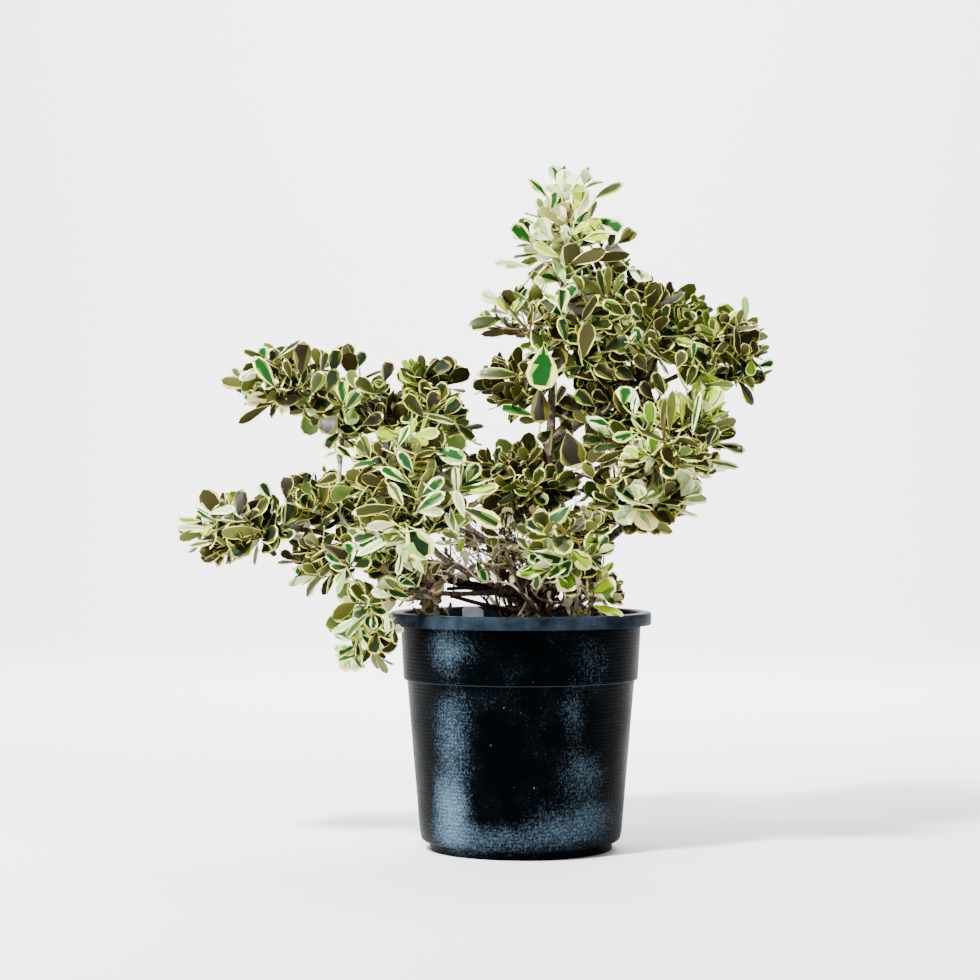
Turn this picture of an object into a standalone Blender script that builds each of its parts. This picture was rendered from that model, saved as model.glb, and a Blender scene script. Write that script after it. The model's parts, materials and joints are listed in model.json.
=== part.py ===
"""Variegated coprosma in a round nursery pot, as separate solids.

A low evergreen shrub with one leaning main stem and long, sweeping side boughs. The crown is a set of
leafy masses: each has its own ellipsoid of space, one stem, shoots that leave the stem towards evenly
spread points of that space, and pairs of leaves round the end of each shoot.

Frame: metres, +Z up, origin at the middle of the pot's flat underside. The widest spread is along X.
"""

import math
from dataclasses import dataclass

import bmesh
import bpy
from mathutils import Matrix, Vector
from mathutils.bvhtree import BVHTree

# ---------------------------------------------------------------- driving dimensions, in metres

RIM_RADIUS = 0.150
POT_HEIGHT = 0.272
WALL = 0.0022
LIP_DEPTH = 0.0145  # height of the turned-down lip
BAND_TOP_RADIUS = 0.1385
BAND_FOOT_RADIUS = 0.1345
BAND_FOOT_HEIGHT = 0.195  # where the wide upper band steps in
BODY_TOP_RADIUS = 0.1305
BODY_FOOT_RADIUS = 0.1150
FOOT_RADIUS = 0.1050
FOOT_HEIGHT = 0.010
FOOT_BEND = 0.024  # height at which the rounded foot meets the straight wall
FLOOR = 0.004
CORNER = 0.0012  # roundness of the moulded corners
SHARP = math.radians(40)  # edges that turn further than this are shaded sharp
TURNED_STEPS = 36

DRAIN_HOLES = 8
DRAIN_RADIUS = 0.007
DRAIN_CIRCLE = 0.075
DRAIN_SIDES = 10

SOIL_TOP = 0.245
SOIL_RELIEF = 0.0035  # the crumbs' rise and fall
CRUMBS = ((61.0, 40.0, 1.3), (-90.0, 117.0, 2.1))  # each wave's numbers along X and Y, and its phase
WELD = 0.00001
CLEAR = 0.0003  # gap between solids that touch on the real plant

TRUNK_FOOT = (0.028, 0.0)
TRUNK_FLAT = 0.030  # radius of the level ground round the trunk
TAPER_POWER = 0.8  # below 1, a limb thins fastest near its foot
LIMB_STEP = 0.028  # spacing of the rings along a limb
LIMB_SIDES = 1  # bevel resolution: six-sided limbs
TWIG_SIDES = 0  # bevel resolution: four-sided stems inside the masses

LABEL_SIZE = (0.026, 0.062, 0.0009)
LABEL_FOOT = (-0.052, -0.062)
LABEL_LEAN = (math.radians(72), math.radians(5), math.radians(24))
LABEL_DEPTH = 0.024  # how far the label is pushed into the soil
LABEL_POINT = 0.34  # share of the label's length that tapers to its point
LABEL_HEAD = 0.3  # height of the rounded head as a share of half the label's width
LABEL_HEAD_POINTS = 5

LEAF_LENGTH = 0.056
FULL_REACH = 0.066  # mean reach of a mass whose leaves have that length
SMALLEST_LEAF = 0.70
LEAF_HALF_WIDTH = 0.32  # as a share of the length, as are the next four
LEAF_WIDEST = 0.60
LEAF_HALF_THICKNESS = 0.030
LEAF_CUP = 0.07
LEAF_DROOP = 0.10
LEAF_SUNK = 0.0007  # how far past the shoot's axis a leaf's root reaches
SHOOT_RADII = (0.0016, 0.0014)
INSET = 0.50  # how far inside its mass's space a shoot ends, in leaf lengths
LEAST_INNER = 0.35  # yet no further inside than this share of the reach
INNERMOST = 0.70  # shoots end between this share of that inner space's reach and all of it
INSET_LOW = 0.20  # how much lower than that, as the leaves rise from it
STEM_STEPS = 20  # places along a stem that are tried for the foot of a shoot
FIRST_SHOOT, LAST_SHOOT = 0.18, 0.95  # shares of the stem between which shoots leave it
SHOOT_SWEEP = 0.22  # share of the stem by which a shoot leaves it before it is nearest to its end
STEM_FOOT = 0.004  # straight length of a stem as it leaves its limb
STEM_RADII = (0.0026, 0.0018)
PAIR_STAGGER = 0.0024  # how far apart along the shoot the two leaves of a pair stand
EVEN = 0.8191725134  # one over the real root of x^4 = x + 1: its powers give an even spread in space
SEED_STEP = 0.377
LEAVES_PER_AREA = 1255.0  # leaves for each square metre of a mass's section
MOST_SHOOTS = 140  # places tried for a shoot before a mass is left as it is
FEWEST_ON_SHOOT = 2
PAIRS_ON_SHOOT = 2
PAIR_SPACING = 0.17  # distance between pairs, in leaf lengths
PAIR_SHRINK = 0.93  # size of each pair against the one below it
FIRST_SPLAY = math.radians(72)  # angle of the lowest pair from the shoot
SPLAY_STEP = math.radians(24)  # how much steeper the next pair stands
LIGHT_PULL = 0.45  # how strongly shoots' ends turn up
TIP_LEAN = 0.25
OVERSHOOT = 0.07  # how far a leaf's tip may pass its mass's ellipsoid, in shares of its reach
APART = 0.045  # least lead over the next mass, in shares of a mass's reach
KEEP_OFF = 0.0009  # least gap between foliage and a limb, the pot or the soil
UP = Vector((0, 0, 1))
NEARLY_UPRIGHT = 0.05


@dataclass
class Limb:
    """A tapering limb. Its first point lies on its parent's line, a share at along it."""

    name: str
    parent: str
    at: float
    points: list
    radii: tuple


@dataclass
class Mass:
    """A mass of foliage: the space it fills and the limb that carries it, at its tip or a share along it."""

    name: str
    limb: str
    at: float
    centre: tuple
    reach: tuple

    def leaf_length(self):
        """Smaller masses have smaller leaves."""
        return LEAF_LENGTH * min(1.0, max(SMALLEST_LEAF, sum(self.reach) / 3 / FULL_REACH))


TRUNK = Limb(
    "trunk",
    "",
    0.0,
    [
        (*TRUNK_FOOT, SOIL_TOP + CLEAR),
        (*TRUNK_FOOT, 0.258),
        (0.029, 0.002, 0.296),
        (0.033, 0.008, 0.354),
        (0.030, 0.004, 0.423),
        (0.035, 0.000, 0.480),
        (0.036, 0.000, 0.526),
        (0.042, 0.002, 0.578),
        (0.047, 0.000, 0.635),
    ],
    (0.0095, 0.0028),
)
ROOT_FLARE = (0.0075, 0.014)  # extra radius at the ground, and the height over which it fades

LIMBS = [
    Limb(
        "bough_low_left", "trunk", 0.135,
        [(-0.024, -0.010, 0.296), (-0.075, -0.012, 0.307), (-0.127, -0.008, 0.322),
         (-0.185, 0.000, 0.346), (-0.230, 0.003, 0.362), (-0.264, 0.002, 0.367)],
        (0.0064, 0.0026),
    ),
    Limb(
        "bough_low_left_mid", "bough_low_left", 0.60,
        [(-0.172, 0.016, 0.351), (-0.190, 0.031, 0.369)],
        (0.0030, 0.0022),
    ),
    Limb(
        "bough_low_left_under", "bough_low_left", 0.40,
        [(-0.118, -0.020, 0.317), (-0.139, -0.028, 0.323)],
        (0.0028, 0.0022),
    ),
    Limb(
        "bough_upper_left", "bough_low_left", 0.70,
        [(-0.206, 0.010, 0.379), (-0.210, 0.019, 0.420), (-0.207, 0.025, 0.462)],
        (0.0036, 0.0024),
    ),
    Limb(
        "bough_upper_left_tip", "bough_upper_left", 0.86,
        [(-0.222, 0.022, 0.482), (-0.240, 0.021, 0.502)],
        (0.0026, 0.0021),
    ),
    Limb(
        "bough_crest", "trunk", 0.22,
        [(-0.010, 0.026, 0.341), (-0.058, 0.046, 0.366), (-0.087, 0.055, 0.411), (-0.096, 0.060, 0.455)],
        (0.0048, 0.0025),
    ),
    Limb(
        "bough_front_left", "trunk", 0.115,
        [(-0.020, -0.046, 0.300), (-0.078, -0.085, 0.329), (-0.104, -0.104, 0.352)],
        (0.0048, 0.0027),
    ),
    Limb(
        "bough_hanging_left", "bough_front_left", 0.30,
        [(-0.070, -0.054, 0.294), (-0.112, -0.064, 0.297), (-0.143, -0.068, 0.300), (-0.162, -0.068, 0.296)],
        (0.0034, 0.0022),
    ),
    Limb(
        "bough_right", "trunk", 0.125,
        [(0.062, -0.014, 0.316), (0.097, -0.022, 0.354), (0.136, -0.023, 0.386), (0.160, -0.022, 0.425)],
        (0.0066, 0.0027),
    ),
    Limb(
        "bough_right_low", "bough_right", 0.45,
        [(0.107, -0.038, 0.359), (0.120, -0.051, 0.371)],
        (0.0030, 0.0023),
    ),
    Limb(
        "bough_front_right", "bough_right", 0.74,
        [(0.150, -0.060, 0.404), (0.153, -0.097, 0.430)],
        (0.0030, 0.0022),
    ),
    Limb(
        "bough_right_upper", "trunk", 0.58,
        [(0.068, -0.004, 0.489), (0.116, -0.010, 0.514), (0.159, -0.012, 0.533), (0.194, -0.010, 0.549)],
        (0.0044, 0.0024),
    ),
    Limb(
        "bough_upper_right", "bough_right_upper", 0.62,
        [(0.148, 0.010, 0.542), (0.158, 0.025, 0.564)],
        (0.0028, 0.0022),
    ),
    Limb(
        "bough_right_inner", "trunk", 0.54,
        [(0.062, 0.024, 0.481), (0.078, 0.036, 0.492)],
        (0.0029, 0.0022),
    ),
    Limb(
        "bough_back_right", "trunk", 0.36,
        [(0.064, 0.060, 0.423), (0.106, 0.113, 0.443), (0.126, 0.134, 0.452)],
        (0.0042, 0.0024),
    ),
    Limb(
        "bough_back_upper", "trunk", 0.76,
        [(0.068, 0.050, 0.561), (0.098, 0.092, 0.577)],
        (0.0029, 0.0022),
    ),
    Limb(
        "bough_front_low", "trunk", 0.165,
        [(0.036, -0.040, 0.309), (0.041, -0.066, 0.322)],
        (0.0032, 0.0024),
    ),
    Limb(
        "bough_back_centre", "trunk", 0.185,
        [(0.023, 0.060, 0.345), (0.010, 0.118, 0.377)],
        (0.0040, 0.0024),
    ),
    Limb(
        "bough_back_left", "bough_crest", 0.36,
        [(-0.082, 0.082, 0.369), (-0.110, 0.116, 0.387)],
        (0.0032, 0.0023),
    ),
    Limb(
        "bough_rim_right", "trunk", 0.075,
        [(0.052, -0.022, 0.279), (0.068, -0.036, 0.285)],
        (0.0028, 0.0021),
    ),
]

MASSES = [
    Mass("leaves_low_left_tip", "bough_low_left", 1.0, (-0.328, 0.000, 0.376), (0.074, 0.062, 0.052)),
    Mass("leaves_low_left_mid", "bough_low_left_mid", 1.0, (-0.231, 0.045, 0.401), (0.076, 0.070, 0.052)),
    Mass("leaves_low_left_under", "bough_low_left_under", 1.0, (-0.188, -0.030, 0.337), (0.092, 0.060, 0.044)),
    Mass("leaves_upper_left_tip", "bough_upper_left_tip", 1.0, (-0.276, 0.020, 0.546), (0.066, 0.062, 0.054)),
    Mass("leaves_upper_left_mid", "bough_upper_left", 1.0, (-0.189, 0.030, 0.522), (0.060, 0.070, 0.064)),
    Mass("leaves_crest_left", "bough_crest", 1.0, (-0.105, 0.060, 0.512), (0.056, 0.070, 0.062)),
    Mass("leaves_front_left", "bough_front_left", 1.0, (-0.122, -0.110, 0.422), (0.083, 0.075, 0.082)),
    Mass("leaves_hanging_left", "bough_hanging_left", 1.0, (-0.176, -0.075, 0.266), (0.050, 0.055, 0.063)),
    Mass("leaves_crown_top", "trunk", 1.0, (0.056, 0.000, 0.722), (0.073, 0.064, 0.070)),
    Mass("leaves_crown_shoulder", "trunk", 0.93, (0.108, 0.010, 0.662), (0.052, 0.060, 0.036)),
    Mass("leaves_crown_left", "trunk", 0.80, (-0.010, -0.030, 0.614), (0.056, 0.060, 0.049)),
    Mass("leaves_crown_low_left", "trunk", 0.66, (-0.014, 0.020, 0.543), (0.046, 0.056, 0.054)),
    Mass("leaves_crown_mid", "trunk", 0.84, (0.083, -0.022, 0.603), (0.074, 0.070, 0.060)),
    Mass("leaves_upper_right", "bough_upper_right", 1.0, (0.172, 0.040, 0.607), (0.066, 0.078, 0.052)),
    Mass("leaves_far_right", "bough_right_upper", 1.0, (0.237, -0.010, 0.575), (0.056, 0.070, 0.062)),
    Mass("leaves_right_mid", "bough_right", 1.0, (0.193, -0.020, 0.484), (0.062, 0.070, 0.065)),
    Mass("leaves_right_inner", "bough_right_inner", 1.0, (0.110, 0.050, 0.519), (0.066, 0.074, 0.052)),
    Mass("leaves_right_low", "bough_right_low", 1.0, (0.136, -0.060, 0.406), (0.080, 0.078, 0.055)),
    Mass("leaves_centre_low", "trunk", 0.44, (0.000, 0.030, 0.430), (0.068, 0.078, 0.063)),
    Mass("leaves_front_low", "bough_front_low", 1.0, (0.043, -0.088, 0.360), (0.070, 0.064, 0.052)),
    Mass("leaves_rim_right", "bough_rim_right", 1.0, (0.087, -0.050, 0.302), (0.042, 0.046, 0.036)),
    Mass("leaves_back_left", "bough_back_left", 1.0, (-0.142, 0.150, 0.428), (0.075, 0.070, 0.060)),
    Mass("leaves_back_centre", "bough_back_centre", 1.0, (0.001, 0.160, 0.422), (0.075, 0.070, 0.058)),
    Mass("leaves_back_right", "bough_back_right", 1.0, (0.156, 0.160, 0.480), (0.073, 0.070, 0.068)),
    Mass("leaves_back_upper", "bough_back_upper", 1.0, (0.130, 0.130, 0.603), (0.067, 0.065, 0.058)),
    Mass("leaves_front_right", "bough_front_right", 1.0, (0.156, -0.130, 0.480), (0.058, 0.065, 0.056)),
]

# ---------------------------------------------------------------- scene and material helpers


def clear_scene():
    for obj in list(bpy.data.objects):
        bpy.data.objects.remove(obj, do_unlink=True)


def new_collection(name):
    collection = bpy.data.collections.new(name)
    bpy.context.scene.collection.children.link(collection)
    return collection


def finish(name, colour, roughness, metallic=0.0):
    """A Principled material of one colour, given as linear RGB."""
    material = bpy.data.materials.new(name)
    material.use_nodes = True
    shader = material.node_tree.nodes["Principled BSDF"]
    shader.inputs["Base Color"].default_value = (*colour, 1.0)
    shader.inputs["Roughness"].default_value = roughness
    shader.inputs["Metallic"].default_value = metallic
    return material


def add_object(name, data, collection, material=None):
    obj = bpy.data.objects.new(name, data)
    collection.objects.link(obj)
    if material:
        data.materials.append(material)
    return obj


def evaluated_mesh(obj, weld=0.0):
    """The object's mesh with its modifiers applied, and points closer than weld made one."""
    bpy.context.view_layer.update()
    graph = bpy.context.evaluated_depsgraph_get()
    mesh = bpy.data.meshes.new_from_object(obj.evaluated_get(graph))
    if weld:
        work = bmesh.new()
        work.from_mesh(mesh)
        bmesh.ops.remove_doubles(work, verts=work.verts, dist=weld)
        work.to_mesh(mesh)
        work.free()
    return mesh


def apply_modifiers(obj):
    mesh = evaluated_mesh(obj)
    obj.modifiers.clear()
    obj.data = mesh


def keep_largest(obj):
    """Keeps the shell with the most faces, and drops loose scraps and sealed hollows."""
    work = bmesh.new()
    work.from_mesh(obj.data)
    left, shells = set(work.faces), []
    while left:
        shell, rim = set(), [left.pop()]
        while rim:
            face = rim.pop()
            shell.add(face)
            beside = {other for edge in face.edges for other in edge.link_faces} & left
            left -= beside
            rim.extend(beside)
        shells.append(shell)
    shells.sort(key=len)
    for shell in shells[:-1]:
        bmesh.ops.delete(work, geom=list(shell), context="FACES")
    work.to_mesh(obj.data)
    work.free()


def cut(obj, cutters):
    """Takes the cutters' shapes away from obj, one after the other, and keeps the main piece."""
    for cutter in cutters:
        cutter.hide_render = True
        cutter.display_type = "WIRE"
        difference = obj.modifiers.new("cut", "BOOLEAN")
        difference.operation = "DIFFERENCE"
        difference.object = cutter
    apply_modifiers(obj)
    keep_largest(obj)


def turned(name, profile, collection, material=None):
    """A profile of (radius, height) points turned round Z: up its inner side, then down its outer side."""
    mesh = bpy.data.meshes.new(name)
    points = [(radius, 0.0, height) for radius, height in profile]
    mesh.from_pydata(points, [(i, i + 1) for i in range(len(points) - 1)], [])
    obj = add_object(name, mesh, collection, material)
    screw = obj.modifiers.new("turn", "SCREW")
    screw.steps = screw.render_steps = TURNED_STEPS
    screw.use_merge_vertices = True
    screw.merge_threshold = 0.0001
    apply_modifiers(obj)
    return obj


# ---------------------------------------------------------------- pot, soil and label


def wall_radius(height):
    """The pot's outer radius between its foot and its lip."""
    if height >= BAND_FOOT_HEIGHT:
        share = (height - BAND_FOOT_HEIGHT) / (POT_HEIGHT - BAND_FOOT_HEIGHT)
        return BAND_FOOT_RADIUS + share * (BAND_TOP_RADIUS - BAND_FOOT_RADIUS)
    share = (height - FOOT_HEIGHT) / (BAND_FOOT_HEIGHT - FOOT_HEIGHT)
    return BODY_FOOT_RADIUS + share * (BODY_TOP_RADIUS - BODY_FOOT_RADIUS)


def inner_profile(clear=0.0):
    """(radius, height) up the inside of the wall, from the floor to the band above the step."""
    step = BAND_FOOT_HEIGHT + 2 * WALL
    return [
        (FOOT_RADIUS - WALL - clear, FLOOR + clear),
        (FOOT_RADIUS - WALL - clear, FOOT_HEIGHT + WALL),
        (wall_radius(FOOT_BEND) - WALL - clear, FOOT_BEND),
        (BODY_TOP_RADIUS - WALL - clear, BAND_FOOT_HEIGHT + WALL),
        (wall_radius(step) - WALL - clear, step),
    ]


def make_pot(collection, helpers):
    """A thin-walled turned pot: flat foot, tapered body, wider band, and a lip turned down over a groove."""
    top = POT_HEIGHT
    lip_foot = top - LIP_DEPTH
    profile = [
        (0.0, FLOOR),
        *inner_profile(),
        (BAND_TOP_RADIUS - WALL, top - 3 * CORNER),
        (BAND_TOP_RADIUS, top),
        (RIM_RADIUS - 3 * CORNER, top),
        (RIM_RADIUS - CORNER, top - CORNER),
        (RIM_RADIUS, top - 4 * CORNER),
        (RIM_RADIUS, lip_foot),
        (RIM_RADIUS - WALL, lip_foot),
        (RIM_RADIUS - WALL, top - 2 * WALL),
        (BAND_TOP_RADIUS, top - 2 * WALL),
        (wall_radius(lip_foot), lip_foot),
        (BAND_FOOT_RADIUS, BAND_FOOT_HEIGHT + CORNER),
        (BAND_FOOT_RADIUS - CORNER, BAND_FOOT_HEIGHT),
        (BODY_TOP_RADIUS, BAND_FOOT_HEIGHT - CORNER / 2),
        (wall_radius(FOOT_BEND), FOOT_BEND),
        (BODY_FOOT_RADIUS - CORNER, FOOT_HEIGHT + 4 * CORNER),
        (BODY_FOOT_RADIUS - 5 * CORNER, FOOT_HEIGHT),
        (FOOT_RADIUS, FOOT_HEIGHT - CORNER),
        (FOOT_RADIUS - CORNER, 0.0),
        (0.0, 0.0),
    ]
    pot = turned("pot", profile, collection, finish("pot_black", (0.012, 0.017, 0.024), 0.38))
    holes = []
    for i in range(DRAIN_HOLES):
        turn = 2 * math.pi * (i + 0.5) / DRAIN_HOLES
        bpy.ops.mesh.primitive_cylinder_add(
            vertices=DRAIN_SIDES, radius=DRAIN_RADIUS, depth=4 * FLOOR,
            location=(DRAIN_CIRCLE * math.cos(turn), DRAIN_CIRCLE * math.sin(turn), FLOOR / 2),
        )
        hole = bpy.context.object
        hole.name = f"cut_drain_{i}"
        for home in list(hole.users_collection):
            home.objects.unlink(hole)
        helpers.objects.link(hole)
        holes.append(hole)
    cut(pot, holes)
    pot.data.shade_smooth()
    pot.data.set_sharp_from_angle(angle=SHARP)
    return pot


def ground_height(x, y):
    """The soil's surface: low crumbs, and level round the trunk."""
    waves = sum(math.sin(across * x + back * y + phase) for across, back, phase in CRUMBS) / len(CRUMBS)
    from_flat = math.hypot(x - TRUNK_FOOT[0], y - TRUNK_FOOT[1]) - TRUNK_FLAT
    fade = min(1.0, max(0.0, from_flat / TRUNK_FLAT))
    return SOIL_TOP + SOIL_RELIEF * fade * (waves - 1) / 2


def make_soil(collection):
    """Potting mix that fills the pot to a little under its rim, clear of the wall."""
    wall = BAND_FOOT_RADIUS - WALL - CLEAR
    rings = [wall * share for share in (0.0, 0.25, 0.50, 0.76, 1.0)]
    profile = [(ring, SOIL_TOP) for ring in rings] + inner_profile(CLEAR)[::-1] + [(0.0, FLOOR + CLEAR)]
    soil = turned("soil", profile, collection, finish("potting_mix", (0.035, 0.022, 0.014), 0.95))
    for vertex in soil.data.vertices:
        if vertex.co.z > SOIL_TOP - CLEAR:
            vertex.co.z = ground_height(vertex.co.x, vertex.co.y)
    return soil


def label_plate(name, collection, clear=0.0):
    """A blank plastic tag with a rounded head and a pointed foot, leaning back."""
    width, length, thickness = LABEL_SIZE
    half = width / 2
    outline = [(-half, LABEL_POINT * length), (0.0, 0.0), (half, LABEL_POINT * length)]
    for i in range(LABEL_HEAD_POINTS):
        turn = math.pi * i / (LABEL_HEAD_POINTS - 1)
        outline.append((half * math.cos(turn), length - LABEL_HEAD * half * (1 - math.sin(turn))))
    curve = bpy.data.curves.new(name, "CURVE")
    curve.dimensions = "2D"
    curve.fill_mode = "BOTH"
    curve.extrude = thickness / 2 + clear
    curve.offset = clear
    spline = curve.splines.new("POLY")
    spline.points.add(len(outline) - 1)
    for point, (x, y) in zip(spline.points, outline):
        point.co = (x, y, 0, 1)
    spline.use_cyclic_u = True
    guide = add_object(name, curve, collection)
    guide.location = (*LABEL_FOOT, SOIL_TOP - LABEL_DEPTH)
    guide.rotation_euler = LABEL_LEAN
    bpy.context.view_layer.update()
    plate = add_object(name + "_plate", evaluated_mesh(guide, WELD), collection)
    plate.matrix_world = guide.matrix_world
    bpy.data.objects.remove(guide)
    plate.name = name
    return plate


# ---------------------------------------------------------------- limbs


def smooth_line(points, step):
    """A Catmull-Rom line through the points, with a point about every step."""
    known = [Vector(p) for p in points]
    known = [2 * known[0] - known[1], *known, 2 * known[-1] - known[-2]]
    line = []
    for i in range(1, len(known) - 2):
        a, b, c, d = known[i - 1 : i + 3]
        parts = max(1, round((c - b).length / step))
        for k in range(parts):
            t = k / parts
            line.append(
                0.5 * (2 * b + (c - a) * t + (2 * a - 5 * b + 4 * c - d) * t * t
                       + (3 * b - a - 3 * c + d) * t * t * t)
            )
    return line + [known[-2]]


def lengths_along(line):
    run = [0.0]
    for a, b in zip(line, line[1:]):
        run.append(run[-1] + (b - a).length)
    return run


def point_at(line, share):
    """The point a share of the way along a line, and the line's direction there."""
    run = lengths_along(line)
    goal = share * run[-1]
    for i in range(1, len(line)):
        if run[i] >= goal - 1e-9:
            t = (goal - run[i - 1]) / (run[i] - run[i - 1])
            return line[i - 1].lerp(line[i], t), (line[i] - line[i - 1]).normalized()
    return line[-1], (line[-1] - line[-2]).normalized()


def limb_radii(limb, line):
    """Radius at each point of the limb: a gentle taper, and the trunk's flare at the ground."""
    run = lengths_along(line)
    start, end = limb.radii
    radii = [start + (end - start) * (s / run[-1]) ** TAPER_POWER for s in run]
    if not limb.parent:
        extra, fade = ROOT_FLARE
        radii = [r + extra * math.exp(-s / fade) for r, s in zip(radii, run)]
    return radii


def tube(name, line, radii, sides, collection, material=None):
    """A closed round tube along a line, as a mesh."""
    curve = bpy.data.curves.new(name, "CURVE")
    curve.dimensions = "3D"
    curve.bevel_depth = 1.0
    curve.bevel_resolution = sides
    curve.use_fill_caps = True
    spline = curve.splines.new("POLY")
    spline.points.add(len(line) - 1)
    for point, place, radius in zip(spline.points, line, radii):
        point.co = (*place, 1)
        point.radius = radius
    guide = add_object(name + "_line", curve, collection)
    obj = add_object(name, evaluated_mesh(guide, WELD), collection, material)
    bpy.data.objects.remove(guide)
    return obj


def make_limbs(collection, helpers):
    """The trunk and boughs. Each bough starts inside its parent and is cut clear of the limbs before it."""
    bark = finish("bark", (0.085, 0.060, 0.042), 0.85)
    lines, inflated = {}, []
    for limb in [TRUNK, *LIMBS]:
        points = list(limb.points)
        if limb.parent:
            points.insert(0, point_at(lines[limb.parent], limb.at)[0])
        line = smooth_line(points, LIMB_STEP)
        radii = limb_radii(limb, line)
        lines[limb.name] = line
        obj = tube(limb.name, line, radii, LIMB_SIDES, collection, bark)
        near = [other for other in inflated if boxes_meet(obj, other)]
        if near:
            cut(obj, near)
        obj.data.shade_smooth()
        inflated.append(
            tube("clear_" + limb.name, line, [r + CLEAR for r in radii], LIMB_SIDES, helpers)
        )
        inflated[-1].hide_render = True
    return lines, {limb.name: clear for limb, clear in zip([TRUNK, *LIMBS], inflated)}


def boxes_meet(first, second):
    a = [first.matrix_world @ v.co for v in first.data.vertices]
    b = [second.matrix_world @ v.co for v in second.data.vertices]
    return all(
        min(p[k] for p in a) < max(p[k] for p in b) and min(p[k] for p in b) < max(p[k] for p in a)
        for k in range(3)
    )


# ---------------------------------------------------------------- foliage


def spread(index, seed):
    """Three numbers from 0 to 1. Successive indices spread evenly: a few fill a space as many do."""
    starts = [SEED_STEP * seed * (k + 1) for k in range(3)]
    return [(0.5 + start + EVEN ** (k + 1) * (index + 1)) % 1.0 for k, start in enumerate(starts)]


def inside_share(point, mass):
    """A point's distance from a mass's centre, as a share of its reach that way."""
    return math.sqrt(sum(((p - c) / r) ** 2 for p, c, r in zip(point, mass.centre, mass.reach)))


def owns(mass, points):
    """True if every point is inside the mass's space and clearly nearer to it than to any other mass."""
    for point in points:
        own = inside_share(point, mass)
        if own > 1.0 + OVERSHOOT:
            return False
        if any(inside_share(point, other) < own + APART for other in MASSES if other is not mass):
            return False
    return True


def stem_line(mass, lines):
    """The mass's stem: from its limb, gap left clear, into the mass and a little past its middle."""
    root, heading = point_at(lines[mass.limb], mass.at)
    centre = Vector(mass.centre)
    if mass.at == 1.0:
        root = root + heading * CLEAR
    else:
        heading = (centre - root).normalized()
    end = centre + 0.30 * (centre - root)
    first = root + heading * STEM_FOOT
    bend = first + heading * 0.40 * (centre - first).length
    return [root] + [first.lerp(bend, t).lerp(bend.lerp(end, t), t) for t in (0, 0.25, 0.5, 0.75, 1.0)]


def shoot_ends(mass, seed, index, stem):
    """Where a shoot leaves the stem, and where it ends: an evenly spread point of the mass's inner space."""
    turn, lift, out = spread(index, seed)
    height = 1 - 2 * lift
    flat = math.sqrt(1 - height * height)
    aim = (flat * math.cos(2 * math.pi * turn), flat * math.sin(2 * math.pi * turn), height)
    size = mass.leaf_length()
    inner = [max(r - INSET * size, LEAST_INNER * r) for r in mass.reach]
    share = INNERMOST + (1 - INNERMOST) * out
    end = Vector([c + share * r * a for c, r, a in zip(mass.centre, inner, aim)]) - UP * INSET_LOW * size
    shares = [k / STEM_STEPS for k in range(STEM_STEPS + 1)]
    nearest = min(shares, key=lambda share: (point_at(stem, share)[0] - end).length)
    start = point_at(stem, min(LAST_SHOOT, max(FIRST_SHOOT, nearest - SHOOT_SWEEP)))[0]
    return start, end


def frame_about(heading):
    """Two directions square to heading and to each other, the first one level."""
    side = heading.cross(UP)
    if side.length < NEARLY_UPRIGHT:
        side = Vector((1, 0, 0))
    side.normalize()
    return side, side.cross(heading).normalized()


def leaf_places(mass, seed, index, start, end):
    """Root, direction, upper side and length of each leaf of a shoot: crossed pairs, and one at the tip."""
    grown = (end - start).normalized()
    axis = (grown + LIGHT_PULL * UP).normalized()
    side, front = frame_about(axis)
    size = mass.leaf_length()
    spin = 2 * math.pi * spread(index, seed + 0.5)[0]
    for pair in range(PAIRS_ON_SHOOT):
        below = size * PAIR_SPACING * (PAIRS_ON_SHOOT - 1 - pair)
        splay = FIRST_SPLAY - SPLAY_STEP * pair
        for half in range(2):
            root = end - grown * (below + PAIR_STAGGER * half)
            turn = spin + math.pi * (half + 0.5 * pair)
            outward = side * math.cos(turn) + front * math.sin(turn)
            along = axis * math.cos(splay) + outward * math.sin(splay)
            upper = axis * math.sin(splay) - outward * math.cos(splay)
            yield root, along, upper, size * PAIR_SHRINK ** pair
    tip_lean = side * math.cos(spin) + front * math.sin(spin)
    along = (axis + TIP_LEAN * tip_lean).normalized()
    yield end - grown * PAIR_STAGGER, along, tip_lean, size * PAIR_SHRINK ** PAIRS_ON_SHOOT


def leaf_mesh():
    """A leaf of length one along X: an eight-faced blade with a pointed root and a drooping tip."""
    work = bmesh.new()
    bmesh.ops.create_uvsphere(work, u_segments=4, v_segments=2, radius=1.0)
    for vertex in work.verts:
        x, y, z = vertex.co
        if abs(x) > 0.5:
            vertex.co = (1.0, 0.0, -LEAF_DROOP) if x > 0 else (0.0, 0.0, 0.0)
        elif abs(y) > 0.5:
            vertex.co = (LEAF_WIDEST, math.copysign(LEAF_HALF_WIDTH, y), LEAF_CUP)
        else:
            vertex.co = (0.5, 0.0, math.copysign(LEAF_HALF_THICKNESS, z))
    mesh = bpy.data.meshes.new("leaf")
    work.to_mesh(mesh)
    work.free()
    return mesh


def leaf_matrix(root, along, upper, size):
    """Places the leaf with its root sunk a little past the shoot's axis."""
    across = upper.cross(along).normalized()
    upper = along.cross(across)
    turn = Matrix((along, across, upper)).transposed().to_4x4()
    return Matrix.Translation(root - along * LEAF_SUNK) @ turn @ Matrix.Scale(size, 4)


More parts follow.
